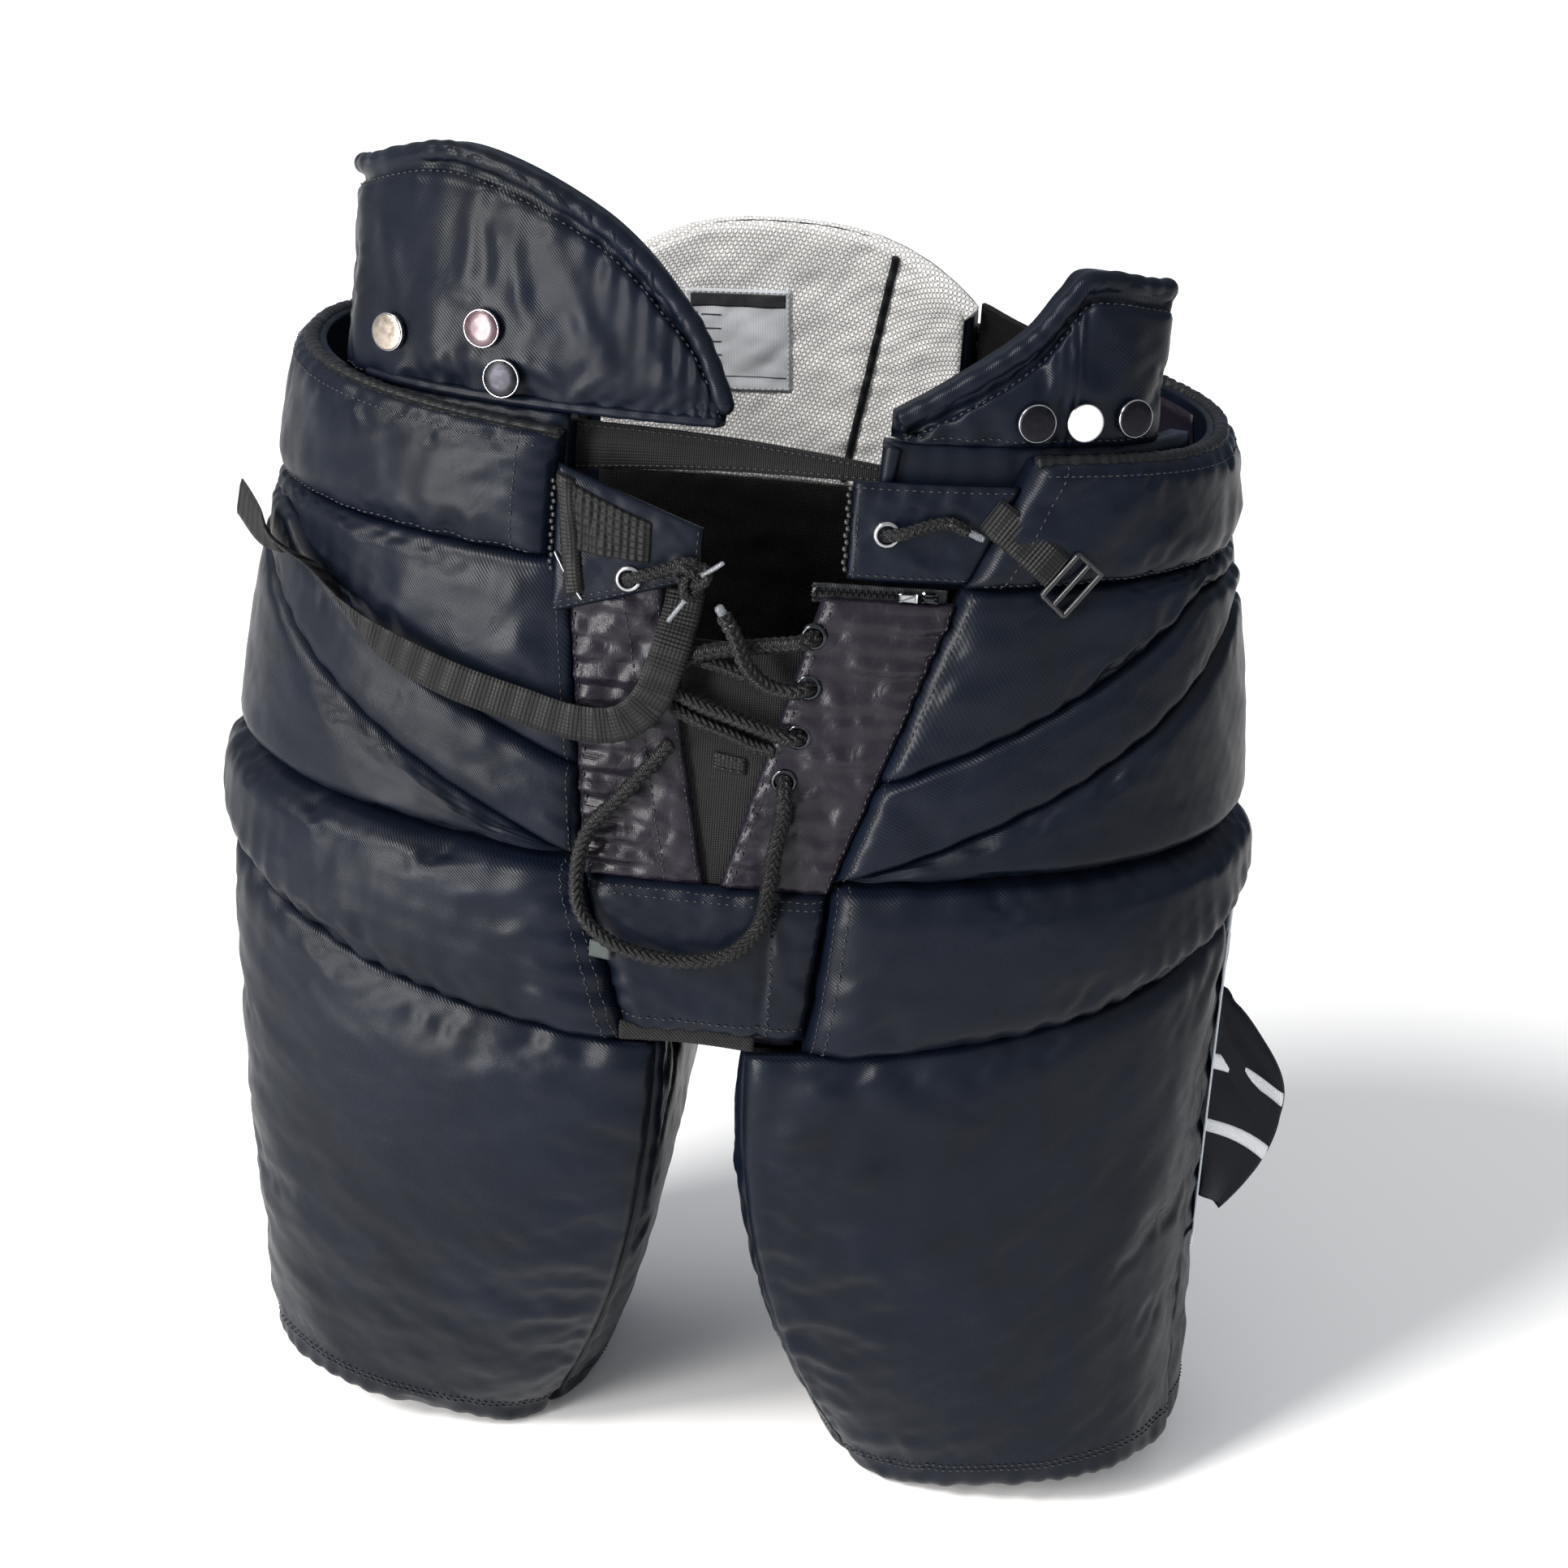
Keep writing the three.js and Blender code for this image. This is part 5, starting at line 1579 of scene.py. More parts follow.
FLAPS = {
    -1: {
        "base": (-212, -88), "edge": [(-214, 744), (-152, 763), (-78, 738), (-30, 694), (-9, 652)],
        "buttons": [((-180, 664), "beige_face"), ((-130, 675), "plum_face"), ((-119, 651), "dark_face")],
        "folds": [
            ((-133, 734), (-129, 690), 5, 2.6, 2), ((-122, 734), (-108, 672), 6, 2.8, -4),
            ((-146, 735), (-150, 690), 6, 2.0, 3), ((-120, 662), (-90, 650), 5, 2.2, 2),
            ((-150, 662), (-122, 648), 6, 2.6, 3), ((-170, 655), (-140, 648), 6, 2.0, 2),
            ((-84, 700), (-60, 652), 8, 2.0, -4), ((-96, 720), (-74, 670), 7, 1.8, -3),
            ((-200, 730), (-186, 676), 7, 1.5, 3), ((-50, 676), (-36, 650), 6, 1.4, 2),
            ((-160, 690), (-136, 684), 5, 1.6, 2)],
    },
    1: {
        "base": (74, 226), "edge": [(78, 650), (104, 666), (141, 692), (158, 713), (171, 724), (210, 716)],
        # The middle button's white face is a painted highlight of glare on shiny metal.
        "buttons": [((190, 651), "dark_face"), ((166, 650), "glare_face"), ((143, 650), "dark_face")],
        "folds": [
            ((168, 716), (196, 668), 8, 1.8, 4), ((150, 686), (186, 660), 7, 1.6, -3),
            ((112, 664), (140, 650), 5, 1.2, 2), ((206, 716), (214, 668), 7, 1.5, 3)],
    },
}


# Stem, rim and snap face of a brace button: segments round it, then (radius, height) points.
BUTTON = (
    (40, [(0, -1.5), (5.2, -1.5), (5.4, 0.4), (4.5, 1), (4.4, 4.2), (4.6, 4.6), (0, 4.7)]),
    (64, [(0, 4.5), (9.0, 4.5), (9.7, 4.8), (10, 5.3), (10, 6.7), (9.8, 7.2), (9.5, 7.4), (9.3, 7.3), (0, 7.0)]),
    (64, [(0, 6.9), (9.25, 6.9), (9.35, 7.35), (8.6, 7.75), (5, 8.0), (0, 8.1)]),
)


class PANTS_OT_flaps(Maker, bpy.types.Operator):
    """Make the two belly flaps with their rolled edges, and their bases in the waist"""

    bl_idname = "hockey_pants.flaps"
    bl_label = "Belly flaps"

    def make(self, look, sizes):
        p = sizes.pucker * 1000
        pitch = sizes.stitch * 1000
        bend = {"start": spot((0, 0, BELT_BOTTOM_Z + 5)), "end": spot((0, 0, FLAP_BASE_Z))}
        made = []
        for side, word in SIDES.items():
            flap = FLAPS[side]
            def base(u, v, offset, flap=flap):
                z = lerp(BELT_BOTTOM_Z, FLAP_BASE_Z - 0.4, v)
                return front_point(lerp(*flap["base"], u), z, offset, FLAP_LAYER)
            panel = Panel(
                f"{word}_belly_base", base, -25.6, -13, (-15, -13.8, -15, -15), (14, 5, 12, 12), 4,
                ruffled({"high": (p, 17, 14)}, (), 0.5, 34, 111 + side))
            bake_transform(panel.piece(look["satin"], None, padded=0.5))
            def place(u, v, offset, flap=flap):
                top = curve_through(flap["edge"], u)
                return front_point(top[..., 0], lerp(FLAP_BASE_Z, top[..., 1], v), offset, FLAP_LAYER)
            edges = {"high": (1.5 * p, 15, 22), "low": (1.6 * p, 19, 24)}
            soft = ruffled(edges, flap["folds"], 0.5, 46, 121 + side)
            def relief(panel, u, v, face, soft=soft):
                """A valley under the rolled edge, and creases that run down from it."""
                away = panel.measures(u, v)[1]
                return soft(panel, u, v, face) - 4.6 * np.exp(-(((away - 12.5) / 3.2) ** 2))
            panel = Panel(
                f"{word}_belly_flap", place, -26.4, -13.2, (-17 if side < 0 else -14, -18, -18, -18),
                (9, 9, 10, 10), 2.5, relief)
            made.append((side, panel))
        fill_out([panel for _, panel in made], sizes.pressure * 0.9, 0.02, 4, 5.5)
        for side, panel in made:
            word, flap = SIDES[side], FLAPS[side]
            panel.piece(look["satin"], f"{word}_flap", padded=0.6)
            roll, thread = Mould(), Mould()
            radius = sizes.piping * 1000
            t = np.linspace(0, 1, 60)
            top = curve_through(flap["edge"], t)
            route = [front_point(x, z - 0.8 * radius, -17.6, FLAP_LAYER) for x, z in top]
            if side < 0:
                route = route + [front_point(-11, 647, -19.6, FLAP_LAYER), front_point(-30, 646, -19, FLAP_LAYER)]
            else:
                route = route[:-1] + [front_point(207.5, z, -19.6, FLAP_LAYER) for z in (706, 688)]
            line = smooth_line(route, 700)
            far = np.linspace(0, line_length(line), 700)
            size = radius * (
                1 + 0.05 * np.sin(far / 2.1 + 1.5 * np.sin(far / 13)) + 0.035 * np.sin(far / 5.3)
                + 0.02 * np.sin(far / 31))
            size = size * np.clip(np.minimum(far, far[-1] - far) / 5 + 0.55, 0, 1)
            rod(roll, line, size, 20, squash=0.98)
            if side < 0:
                t = np.linspace(0, 1, 260)
                welt = front_point(lerp(-196, -12, t), FLAP_BASE_Z + 3.2, -13.6 - 1.5 * t, FLAP_LAYER)
                rod(roll, welt, 3.0 + 0.12 * np.sin(t * 90 + np.sin(t * 31)), 12)
            if side > 0:
                front = Mould()
                line = smooth_line(
                    [front_point(x, z, -12.6, FLAP_LAYER) for x, z in ((75.5, 634), (74.5, 622), (73, 606))], 60)
                rod(front, line, np.linspace(0.95, 0.7, 60) * radius, 18)
                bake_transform(front.keep("left_base_roll", look["satin"], None))
            roll.keep(f"{word}_flap_roll", look["satin"], f"{word}_flap")
            edge_stitches(thread, panel, "high", 15.5, pitch, radius=0.5)
            edge_stitches(thread, panel, "low", 4, pitch)
            thread.keep(f"{word}_flap_stitches", look["thread"], f"{word}_flap")
            for number, ((x, z), face) in enumerate(flap["buttons"]):
                seat = front_point(x, z, -12.4, FLAP_LAYER)
                out = front_normal(x, z)
                button = Mould()
                for part, (segments, profile) in enumerate(BUTTON):
                    turned(button, profile, seat, out, segments, part)
                name = f"{word}_flap_button_{number + 1}"
                button.keep(name, [look["dark_nickel"], look["nickel"], look[face]], f"{word}_flap", "button_steel")


LINING_HALF, LINING_LOW = 104, 548


def lining_seam(z):
    """Where the piped seam runs down the mesh lining."""
    return 44 + 0.16 * (z - 570)


class PANTS_OT_back(Maker, bpy.types.Operator):
    """Make the back pad, its mesh lining with the blank label, the plate and the ribbed corners"""

    bl_idname = "hockey_pants.back"
    bl_label = "Back pad and lining"

    def make(self, look, sizes):
        p = sizes.pucker * 1000
        def back(half, bottom, margin, layer=BACK_LAYER):
            def place(u, v, offset):
                x = lerp(half, -half, u)
                return back_point(x, lerp(bottom, back_pad_top(x, half) - margin, v), offset, layer)
            return place
        pad = Panel(
            "back_pad", back(106, 420, 0), -29.6, -16.6, (-19,) * 4, 9, 4,
            ruffled({"high": (p, 16, 12)}, (), 0.5, 40, 131))
        pad.piece(look["satin"], padded=0.6)

        def lining(u, v, offset):
            return back(LINING_HALF, LINING_LOW, 2)(1 - u, v, offset)
        def relief(panel, u, v, face):
            x, z = face[..., 0], face[..., 2]
            seam = lining_seam(z)
            soft = 1.0 * uneven(face, 46, 137) + 0.5 * uneven(face, 17, 139)
            folds = drape(
                face,
                [
                    ((30, 650), (52, 560), 7, 1.3, 4), ((70, 662), (84, 600), 8, 1.4, -4),
                    ((-96, 640), (-60, 560), 10, 1.2, 6), ((58, 640), (92, 560), 8, 1.3, 5)])
            channel = -1.6 * np.exp(-(((x - seam) / 3) ** 2))
            gather = 0.6 * np.sin(z / 1.9) * np.exp(-np.abs(x - seam) / 9)
            rim = panel.rim(u, v, 4)
            return (soft + folds + channel + gather) * rim
        # Its seen face looks inwards, towards the front, so its outer face is the one at the smaller radius.
        mesh = Panel("back_lining", lining, -30.9, -33.6, (-32, -32.4, -32, -32), 5, 3, relief)
        mesh.piece(look["mesh"], "torso", "mesh_lining", padded=0.2)
        t = np.linspace(0.02, 0.985, 200)
        z_line = lerp(549, 690, t)
        x_line = lining_seam(z_line)
        top = back_pad_top(x_line, LINING_HALF) - 2
        share = np.clip((z_line - LINING_LOW) / (top - LINING_LOW), 0, 1)
        points, normals = mesh.at((x_line + LINING_HALF) / (2 * LINING_HALF), share)
        piping = Mould()
        line = points + normals * 0.8
        rod(piping, even_line(line[share < 0.995], 220), 2.3, 12)
        piping.keep("lining_piping", look["binding"], slot="mesh_lining")
        t = np.linspace(0, 1, 300)
        x = lerp(-105, 105, t)
        edge = back_point(x, back_pad_top(x, 106) - 5.2, -25.6, BACK_LAYER)
        hem = Mould()
        rod(hem, even_line(edge, 300), 6.4 + 0.12 * np.sin(t * 90 + np.sin(t * 37)), 16)
        hem.keep("lining_hem", look["mesh"], slot="mesh_lining")

        low = Panel(
            "lower_lining",
            lambda u, v, offset: back_point(lerp(-104, 104, u), lerp(431, 551, v), offset, BACK_LAYER), -30.9,
            -33.2, (-32,) * 4, 6, 4,
            ruffled({"high": (0.6 * p, 14, 14)}, [((-60, 500), (50, 520), 6, 1.0, 3)], 0.7, 34, 145))
        low.piece(look["elastic"], "torso", "webbing")

        def on_lining(x, z):
            return mesh.at(
                (x + LINING_HALF) / (2 * LINING_HALF),
                (z - LINING_LOW) / (back_pad_top(x, LINING_HALF) - LINING_LOW - 2))
        def label_place(u, v, offset):
            x = lerp(-59, 3, u) + lerp(4, 0, v)
            z = lerp(600, 660, v) + 3 * u
            points, normals = on_lining(x, z)
            return points + normals * (offset[..., None] if isinstance(offset, np.ndarray) else offset)
        label = Panel("size_label", label_place, 0.2, 1.5, (1.0,) * 4, 2, 2.2, ruffled({}, (), 0.3, 24, 141))
        label.piece(look["label"], "torso", "webbing")
        ink, thread = Mould(), Mould()
        def bar(u0, u1, v0, v1):
            u, v = np.meshgrid(np.linspace(u0, u1, 40), np.linspace(v0, v1, 9))
            face, out = label.at(u, v)
            high, low = (face + out * 0.22).reshape(-1, 3), (face - out * 0.2).reshape(-1, 3)
            ink.add(
                np.vstack([high, low]), grid_faces(39, 8) + grid_faces(39, 8, 360, True) + rim_faces(39, 8, 360))
        bar(0.05, 0.95, 0.83, 0.96)
        bar(0.05, 0.95, 0.14, 0.148)
        for number in range(4):
            v = 0.72 - 0.13 * number
            for a, b, c, d in (
                (0.06, 0.115, v + 0.05, v + 0.056), (0.06, 0.115, v, v + 0.006), (0.06, 0.066, v, v + 0.056),
                (0.109, 0.115, v, v + 0.056)):
                bar(a, b, c, d)
            bar(0.15, 0.34, v + 0.02, v + 0.032)
        for edge_name in ("low", "high", "first", "last"):
            edge_stitches(thread, label, edge_name, 1.5, 3.2, length=2.2, radius=0.3)
        ink.keep("label_print", look["print"], slot="webbing")
        thread.keep("label_stitches", look["label"], slot="webbing")

        def tail(u, v, offset):
            return back_point(lerp(70, -70, u), lerp(CROTCH_Z + 43, BELT_TOP_Z - 4, v), offset)
        plate = Panel(
            "tail_plate", tail, -15.3, -12.9, (-13.6,) * 4, 5, 5,
            lambda panel, u, v, face: -0.8 * (np.abs(np.sin(u * math.pi * 3)) < 0.12) * (v > 0.08) * (v < 0.92))
        plate.piece(look["guard"], "torso", "guard_plastic")
        for side, word in SIDES.items():
            def corner(u, v, offset, side=side):
                across = 1 - u if side > 0 else u
                x = lerp(108, 200, across)
                top = 664 - 14 * np.sin(math.pi * across)
                return back_point(side * x, lerp(BELT_BOTTOM_Z, top, v), offset, BACK_LAYER)
            ribs = lambda panel, u, v, face: 0.55 * np.sin(2 * math.pi * face[..., 2] / 3.4) * panel.rim(u, v, 3)
            piece = Panel(f"{word}_back_corner", corner, -20.6, -13.4, (-16,) * 4, 6, 1.44, ribs)
            piece.piece(look["elastic"], "torso", "webbing")
            # The belt's lining, seen across the waist
            def inner(u, v, offset, side=side):
                angle = side * lerp(104, 178, 1 - u if side > 0 else u)
                z = lerp(BELT_BOTTOM_Z - 96, belt_top(angle) - 6, v)
                return body_point(angle, z, offset)
            facing = Panel(
                f"{word}_waist_facing", inner, -12.2, -13.3, (-12.8,) * 4, 4, 6, ruffled({}, (), 0.4, 40, 151))
            facing.piece(look["thin"], "torso", "thin_nylon")


class PANTS_OT_strap(Maker, bpy.types.Operator):
    """Make the wide elastic strap across the belly"""

    bl_idname = "hockey_pants.strap"
    bl_label = "Belly strap"

    def make(self, look, sizes):
        def place(u, v, offset):
            x = lerp(-124, 92, u)
            z = 614 + 6 * np.sin(math.pi * u) + lerp(-15, 15, v) * lerp(1, 0.25, u)
            return front_point(x, z, offset, STRAP_LAYER)
        relief = (
            lambda panel, u, v, face: 0.25 * np.sin(2 * math.pi * v * 11) * panel.rim(u, v, 2)
            + 1.2 * np.sin(u * 7) * np.sin(v * 3.1))
        panel = Panel("belly_strap", place, -28.4, -26.8, (-27.4,) * 4, 2, 1.6, relief)
        panel.piece(look["elastic"], "torso", "webbing")
        thread = Mould()
        edge_stitches(thread, panel, "low", 2.2, 3.6)
        edge_stitches(thread, panel, "high", 2.2, 3.6)
        thread.keep("belly_strap_stitches", look["thread"], slot="webbing")


class PANTS_OT_tabs(Maker, bpy.types.Operator):
    """Make the lace tabs, their grommets and the fly's eyelets"""

    bl_idname = "hockey_pants.tabs"
    bl_label = "Lace tabs and eyelets"

    def make(self, look, sizes):
        p = sizes.pucker * 1000
        pitch = sizes.stitch * 1000
        thread = Mould()
        def right(u, v, offset):
            x = lerp(-90, -14, u)
            return front_point(x, lerp(lerp(536, 562, u), lerp(614, 588, u), v), offset)
        folds = [
            ((-84, 604), (-62, 566), 5, 1.6, 2), ((-40, 592), (-16, 574), 5, 1.5, -2),
            ((-62, 548), (-30, 556), 4, 1.1, 2)]
        panel = Panel(
            "right_lace_tab", right, -1.2, 3.2, (1.4,) * 4, 7, 2.2,
            ruffled({"low": (0.5 * p, 12, 9)}, folds, 0.6, 26, 161))
        panel.piece(look["satin"])
        for inset in (2.4, 5.4):
            edge_stitches(thread, panel, "low", inset, pitch)
        edge_stitches(thread, panel, "last", 2.4, pitch)
        def patch(u, v, offset):
            points, normals = panel.at(lerp(0.10, 0.66, u), lerp(0.45, 0.93, v) - 0.10 * u)
            return points + normals * offset[..., None]
        grid = (
            lambda part, u, v, face: 0.5
            * (
                np.abs(np.sin(u * part.widths.mean() * math.pi / 4.2)) ** 0.4
                + np.abs(np.sin(v * part.heights.mean() * math.pi / 4.2)) ** 0.4 - 1)
            * part.rim(u, v, 2))
        Panel(
            "tab_elastic", patch, 0.1, 1.7, (0.9,) * 4, 2, 0.9, grid
        ).piece(look["grid_elastic"], "torso", "webbing")
        def band(u, v, offset):
            points, normals = panel.at(lerp(0.0, 0.13, u) + 0.1 * (1 - v), lerp(0.1, 0.96, v))
            return points + normals * offset[..., None]
        Panel(
            "tab_fold", band, 0.1, 3.4, (1.0,) * 4, 5, 1.6,
            lambda part, u, v, face: 0.25 * np.sin(v * part.heights.mean() * 2.6)
        ).piece(look["webbing"], "torso", "webbing")
        strip = Mould()
        t = np.linspace(0, 1, 30)
        a = panel.at(lerp(0.02, 0.22, t), lerp(0.42, 0.06, t))
        rod(strip, a[0] + a[1] * 1.5, 0.7, 8)
        strip.keep("tab_wire", look["nickel"], slot="nickel")
        teeth = Mould()
        for number in range(14):
            place = panel.at(0.0, 0.30 + 0.045 * number)
            at, out = place[0], place[1]
            turned(
                teeth, [(0, -0.6), (1.5, -0.6), (1.3, 1.0), (0, 1.2)],
                at + np.array([-1.2 - 0.8 * (number % 2), 0, 0]), out, 8)
        teeth.keep("tab_teeth", look["plastic"], slot="black_plastic")

        def left(u, v, offset):
            z = lerp(567, 618, v)
            return front_point(lerp(61, belt_front(1, z) - 0.8, u), z, offset)
        folds = [
            ((66, 610), (110, 604), 3.5, 1.1, 2), ((84, 582), (116, 574), 4, 1.4, -2),
            ((100, 612), (126, 600), 3.5, 1.2, 2), ((64, 575), (80, 600), 4, 1.0, 2)]
        panel = Panel(
            "left_lace_tab", left, -5.8, -1.4, (-3.4,) * 4, 7, 2.2,
            ruffled({"low": (0.8 * p, 13, 10), "high": (0.8 * p, 11, 9)}, folds, 0.7, 22, 171))
        panel.piece(look["satin"])
        for edge_name in ("low", "high", "first"):
            edge_stitches(thread, panel, edge_name, 3, pitch)
        teeth = Mould()
        for number in range(13):
            z = 572 + 3.5 * number
            turned(
                teeth, [(0, -0.7), (1.4, -0.7), (1.2, 1.2), (0, 1.3)],
                front_point(59.5 - 0.9 * (number % 2), z, -3.4), front_normal(60, z), 8)
        teeth.keep("left_tab_teeth", look["plastic"], slot="black_plastic")
        thread.keep("tab_stitches", look["thread"])

        rolled = [
            (4.4, -1.2), (4.4, 1.0), (4.8, 1.65), (5.4, 1.9), (6.1, 1.65), (6.8, 1.0), (7.2, 0.25), (7.2, -0.4),
            (6.5, -0.8)]
        for side, word in SIDES.items():
            x, z = GROMMETS[side]
            ring = Mould()
            turned(ring, rolled, front_point(x, z, TAB_OUTER[side] + 2), front_normal(x, z), 56)
            ring.keep(f"{word}_tab_grommet", look["nickel"], "torso", "nickel")
        for number, (x, z) in enumerate(EYELETS):
            ring = Mould()
            turned(ring, rolled, front_point(x, z, ON_PLACKET + 1.6), front_normal(x, z), 56)
            name = f"fly_eyelet_{number + 1}"
            ring.keep(name, look["dark_nickel"], "torso", "black_nickel")


class PANTS_OT_zip(Maker, bpy.types.Operator):
    """Make the zip over the left placket with its teeth, slider and pull"""

    bl_idname = "hockey_pants.zip"
    bl_label = "Zip"

    def make(self, look, sizes):
        height = PLACKET_TOP_Z + 3.4
        start, end = front_point(44, height, -5), front_point(114, height, -5)
        along = unit(end - start)
        out = np.array([along[1], -along[0], 0.0])
        up = np.array([0.0, 0.0, 1.0])
        length = float(np.linalg.norm(end - start))
        def brick(mould, far, wide, low, high, near, outer, look=0, taper=0.0, bevel=0.5):
            """A small block with softened edges, by distances along, up and out of the zip."""
            ring = []
            for depth, shrink in ((near, bevel), (near + bevel, 0), (outer - bevel, 0), (outer, bevel)):
                for su, sv in ((-1, -1), (1, -1), (1, 1), (-1, 1)):
                    half = wide / 2 - shrink - taper * (sv > 0)
                    for ku, kv in (((0.75, 1), (1, 0.75)) if su * sv > 0 else ((1, 0.75), (0.75, 1))):
                        middle = (low + high) / 2
                        ring.append(
                            start + along * (far + su * half * ku)
                            + up * (middle + sv * ((high - low) / 2 - shrink) * kv) + out * depth)
            points = np.array(ring)
            faces = [
                (8 * j + k, 8 * j + (k + 1) % 8, 8 * j + 8 + (k + 1) % 8, 8 * j + 8 + k)[::-1] for j in range(3)
                for k in range(8)]
            faces += [tuple(range(8)), tuple(range(31, 23, -1))]
            mould.add(points, faces, None, look)
        chain = Mould()
        u, v = np.meshgrid(np.linspace(0, 1, 60), np.linspace(0, 1, 7))
        def tape(offset):
            wave = 0.5 * np.sin(u * 40) * (v - 0.5)
            return (
                start + along * (u * length)[..., None] + up * lerp(-4.4, 4.0, v)[..., None]
                + out * (offset + wave)[..., None])
        chain.add(
            np.vstack([tape(0.3).reshape(-1, 3), tape(-0.7).reshape(-1, 3)]),
            grid_faces(59, 6) + grid_faces(59, 6, 420, True) + rim_faces(59, 6, 420),
            np.vstack([np.stack([u * length, v * 8], -1).reshape(-1, 2) / 1000] * 2), 0)
        for number in range(int((length - 4) / TOOTH_PITCH)):
            far = 2 + TOOTH_PITCH * number
            side = 1 if number % 2 else -1
            brick(chain, far, 1.05, -0.9 + 0.8 * side, 0.9 + 0.8 * side, 0.2, 1.9, 1, bevel=0.25)
        cord_line = np.array([start, end]) - up * 5.2 - out * 0.5
        rod(chain, even_line(cord_line, 90), 1.1 + 0.15 * np.sin(np.arange(90) * 0.9), 8)
        chain.keep("zip_chain", [look["binding"], look["dark_nickel"]], "torso", "black_plastic")
        stop = Mould()
        brick(stop, 0.8, 3.2, -3.4, 3.2, -0.2, 2.2, bevel=0.6)
        stop.keep("zip_stop", look["nickel"], slot="nickel")
        slider = Mould()
        far = length - 9
        brick(slider, far, 10.6, -3.0, 3.8, 3.0, 5.0, taper=0.9, bevel=0.8)
        brick(slider, far - 0.5, 7.4, -1.0, 1.6, 5.0, 6.9, bevel=0.7)
        slider.keep("zip_slider", look["dark_nickel"], "slider", "black_plastic", flat=True)
        pull = Mould()
        far = length - 20.2
        brick(pull, far, 10.4, -2.6, 2.6, 4.1, 5.4, bevel=0.45)
        rod(
            pull,
            np.array(
                [
                    start + along * (far + 4.4) + up * 2.2 * math.cos(a) + out * (4.75 + 0.4 * math.sin(a))
                    for a in np.linspace(0, 2 * math.pi, 24)]),
            0.5, 8)
        pull.keep("zip_pull", look["nickel"], "pull", "nickel", flat=True)


BUCKLE_AT, BUCKLE_BEFORE = (162.5, 577.5), (150, 588.5)


class PANTS_OT_buckle(Maker, bpy.types.Operator):
    """Make the webbing from under the left belt and the ladder buckle on its end"""

    bl_idname = "hockey_pants.buckle"
    bl_label = "Ladder buckle"

    def make(self, look, sizes):
        line = smooth_line(
            [
                front_point(130, 605, -1.2), front_point(139, 598, 2.2), front_point(*BUCKLE_BEFORE, 5.2),
                front_point(*BUCKLE_AT, 6.2)],
            90)
        way = np.gradient(line, axis=0)
        way = unit(way)
        out = front_normal(line[:, 0], line[:, 2])
        wide = np.cross(out, way)
        wide = unit(wide)
        mould = Mould()
        ribbon(mould, line, wide, np.cross(way, wide), 20, 1.6, 0.28, 2.4)
        mould.keep("buckle_webbing", look["webbing"], "torso", "webbing")
        face = front_normal(*BUCKLE_AT)
        down = front_point(*BUCKLE_AT, 0) - front_point(*BUCKLE_BEFORE, 0)
        down = unit(down)
        across = np.cross(face, down)
        across = unit(across)
        face = np.cross(down, across)
        start = front_point(*BUCKLE_AT, 6.2) + down * 0.8
        buckle = Mould()
        def bar(points, radius=1.5, squash=1.0):
            rod(
                buckle, even_line(np.array([start + down * a + across * b + face * c for a, b, c in points]), 24),
                radius, 14, up=face)
        outline = [
            (2.1, -13.9, 0), (1.6, -13.4, 0), (1.6, 13.4, 0), (2.1, 13.9, 0), (17.9, 14.4, 0), (18.4, 13.9, 0),
            (18.4, -13.9, 0), (17.9, -14.4, 0), (2.1, -13.9, 0)]
        rod(
            buckle, even_line(np.array([start + down * a + across * b + face * c for a, b, c in outline]), 180),
            1.55, 14, up=face)
        bar([(10, -13.6, 0.2), (10, 13.6, 0.2)], 1.45)
        bar([(1.7, -13.4, 0.3), (1.7, 13.4, 0.3)], 1.6)
        buckle.keep("slide_buckle", look["plastic"], "buckle", "black_plastic")


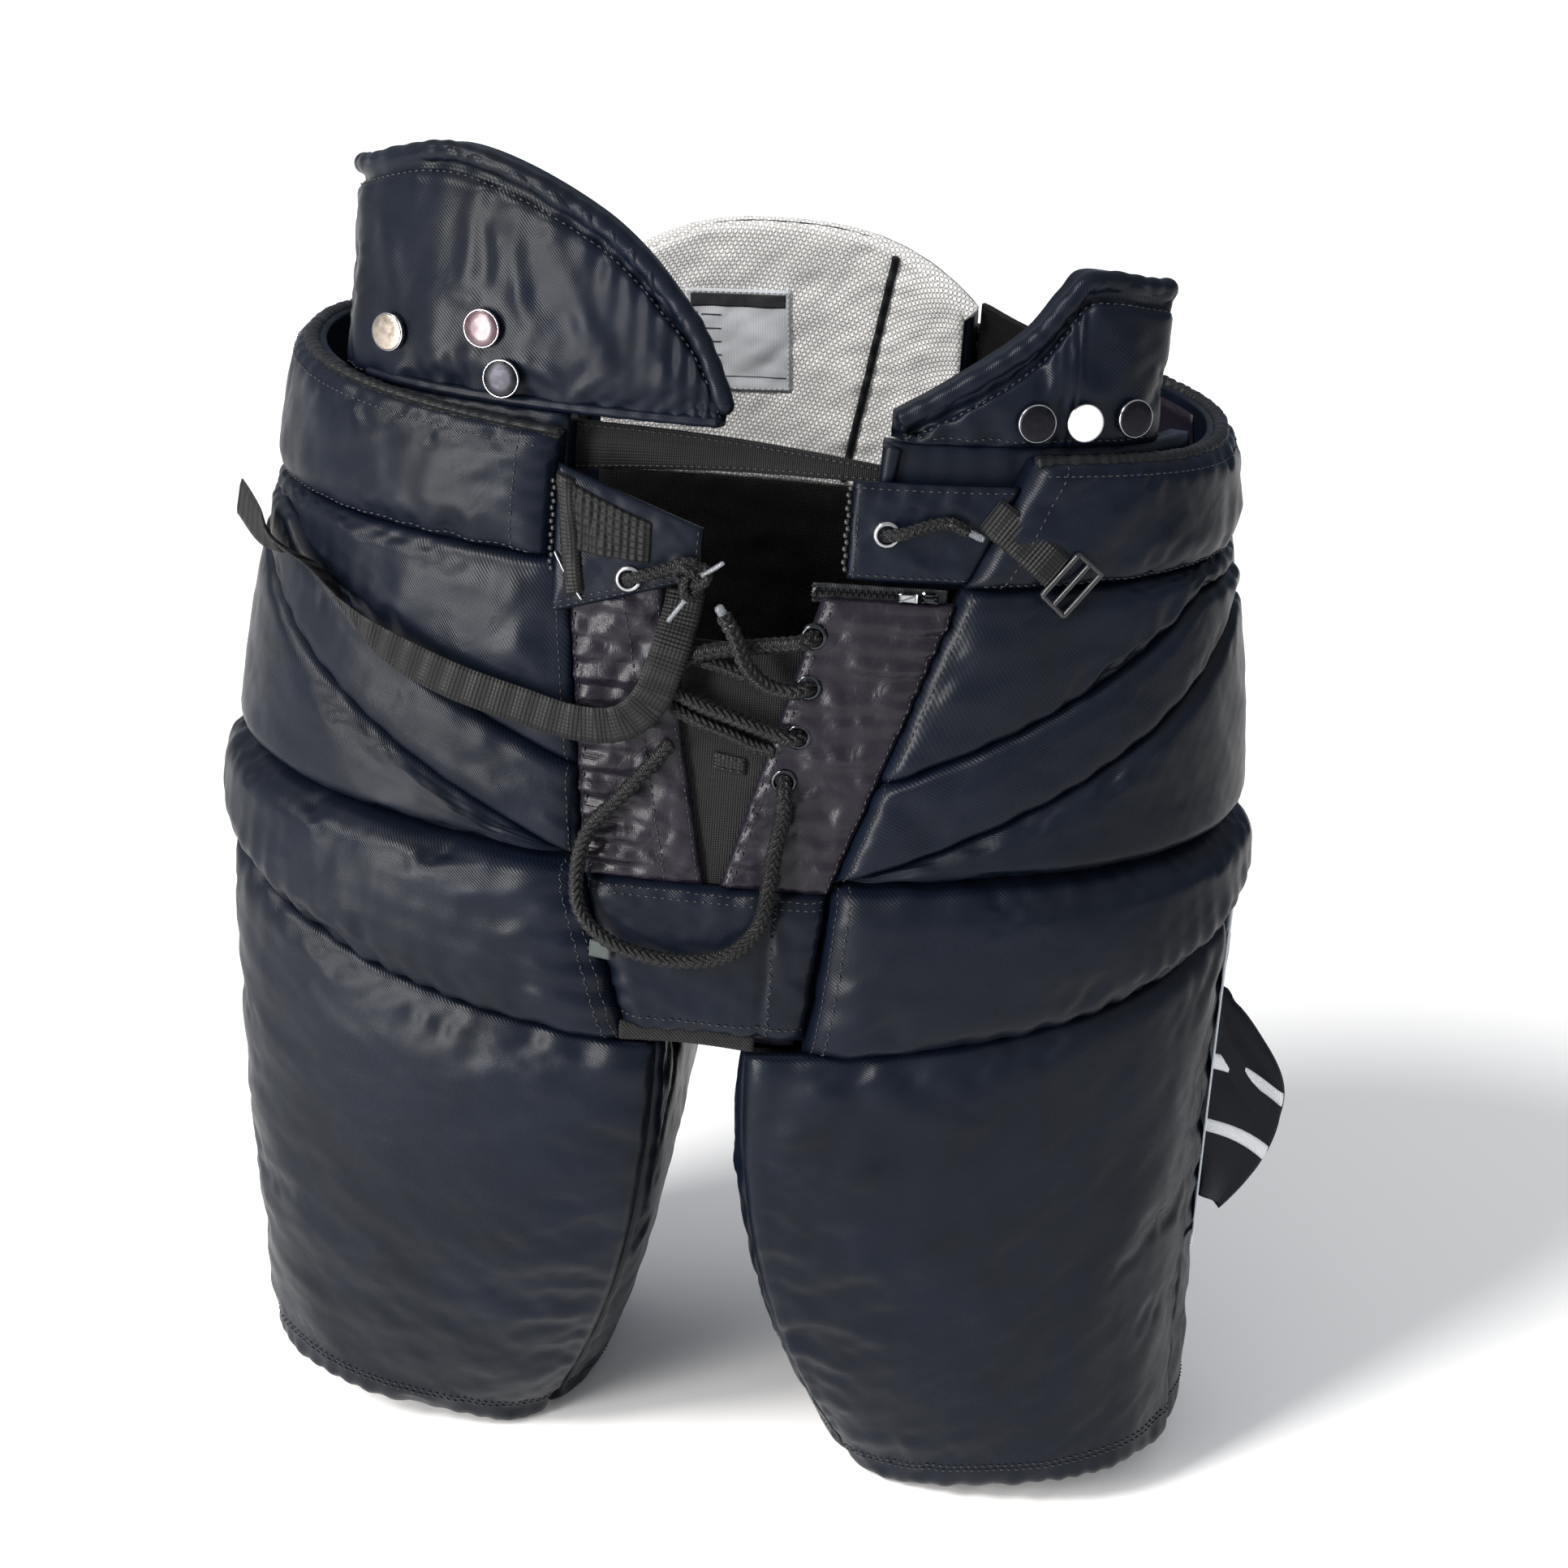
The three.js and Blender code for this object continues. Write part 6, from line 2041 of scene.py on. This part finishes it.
class PANTS_OT_stripes(Maker, bpy.types.Operator):
    """Make the pale stripes behind the left leg and the loose fold that stands off it"""

    bl_idname = "hockey_pants.stripes"
    bl_label = "Rear stripes and fold"

    def make(self, look, sizes):
        leg = LEGS[1]
        def fold_place(u, v, offset):
            root = outside_point(leg, 0.53, lerp(0.36, 0.75, v), 0)
            reach = 52 * np.sin(math.pi * lerp(0.1, 0.95, v)) ** 0.8
            move = (
                (u * reach)[..., None] * np.array([0.97, 0.24, 0])
                + np.asarray(offset)[..., None] * np.array([0.24, -0.97, 0]))
            drop = np.zeros(move.shape)
            drop[..., 2] = -14 * u * u
            return root + move + drop
        relief = (
            lambda panel, u, v, face: (2.4 * np.sin(u * 4 + v * 5) + 1.3 * np.sin(v * 15 + u * 5))
            * np.clip(u * 4, 0, 1))
        panel = Panel("left_rear_fold", fold_place, -2.6, -0.2, (-0.9,) * 4, 4, 1.8, relief)
        panel.piece(look["satin"], "left_leg", "thin_nylon")
        bands = Mould()
        def strip(place, count, width):
            """A thin knitted band laid on the cloth; place(t, s) gives its points and directions."""
            t, s = np.meshgrid(np.linspace(0, 1, count), np.linspace(-0.5, 0.5, 5), indexing="ij")
            face, out = place(t, s)
            top = face + out * (0.9 - 2.0 * np.abs(s[..., None]) ** 3 * 2)
            low = face - out * 0.4
            number = t.size
            size = np.stack([s * width, t * count * 2], -1).reshape(-1, 2) / 1000
            quads = grid_faces(4, count - 1)
            bands.add(
                np.vstack([top.reshape(-1, 3), low.reshape(-1, 3)]),
                [q[::-1] for q in quads] + grid_faces(4, count - 1, number) + [
                    f[::-1] for f in rim_faces(4, count - 1, number)],
                np.vstack([size, size]), strip.look)
        strip.look = 1
        for v0, v1, slope in ((0.60, 0.67, -0.10), (0.30, 0.36, -0.06)):
            strip(
                lambda t, s, v0=v0, v1=v1, slope=slope: panel.at(
                    lerp(0.02, 0.985, t), np.clip(lerp(v0, v1, s + 0.5) + slope * t, 0, 1)),
                40, 9)
        def back_side(u, share):
            def surface(a, b):
                return outside_point(leg, a, b, 0.6)
            face = surface(u, share)
            across = surface(u + 0.002, share) - face
            up = surface(u, share + 0.004) - face
            out = np.cross(across, up)
            return face, unit(out)
        strip.look = 0
        strip(lambda t, s: back_side(lerp(0.455, 0.475, t) + 0.014 * s, lerp(0.985, 0.36, t)), 140, 7)
        strip.look = 1
        strip(lambda t, s: back_side(lerp(0.50, 0.512, t) + 0.009 * s, lerp(0.93, 0.66, t)), 60, 5)
        strip(lambda t, s: back_side(lerp(0.45, 0.56, t), lerp(0.345, 0.335, t) + 0.022 * s), 50, 6)
        bands.keep("rear_stripes", [look["stripe"], look["white"]], "left_leg", "thin_nylon")


class HOCKEY_PT_pants(bpy.types.Panel):
    """Lists the pieces and their sizes"""

    bl_label = "Hockey pants"
    bl_idname = "HOCKEY_PT_pants"
    bl_space_type = "VIEW_3D"
    bl_region_type = "UI"
    bl_category = "Hockey pants"

    def draw(self, context):
        column = self.layout.column(align=True)
        for group in (context.scene.hockey_pants_sizes, context.scene.hockey_pants_colours):
            for name in group.__annotations__:
                column.prop(group, name)
        column.separator()
        for maker in MAKERS:
            column.operator(maker.bl_idname)


MAKERS = (
    PANTS_OT_stage, PANTS_OT_cords, PANTS_OT_hips, PANTS_OT_belts, PANTS_OT_seat, PANTS_OT_legs, PANTS_OT_fly,
    PANTS_OT_flaps, PANTS_OT_back, PANTS_OT_strap, PANTS_OT_tabs, PANTS_OT_zip, PANTS_OT_buckle, PANTS_OT_stripes,
)
CLASSES = (HockeyPantsSizes, HockeyPantsColours) + MAKERS + (HOCKEY_PT_pants,)


def register():
    for kind in CLASSES:
        bpy.utils.register_class(kind)
    bpy.types.Scene.hockey_pants_sizes = bpy.props.PointerProperty(type=HockeyPantsSizes)
    bpy.types.Scene.hockey_pants_colours = bpy.props.PointerProperty(type=HockeyPantsColours)


def unregister():
    del bpy.types.Scene.hockey_pants_sizes
    del bpy.types.Scene.hockey_pants_colours
    for kind in reversed(CLASSES):
        bpy.utils.unregister_class(kind)


def main():
    register()
    for maker in MAKERS:
        group, name = maker.bl_idname.split(".")
        getattr(getattr(bpy.ops, group), name)()
    bpy.context.view_layer.update()


if __name__ == "__main__":
    main()
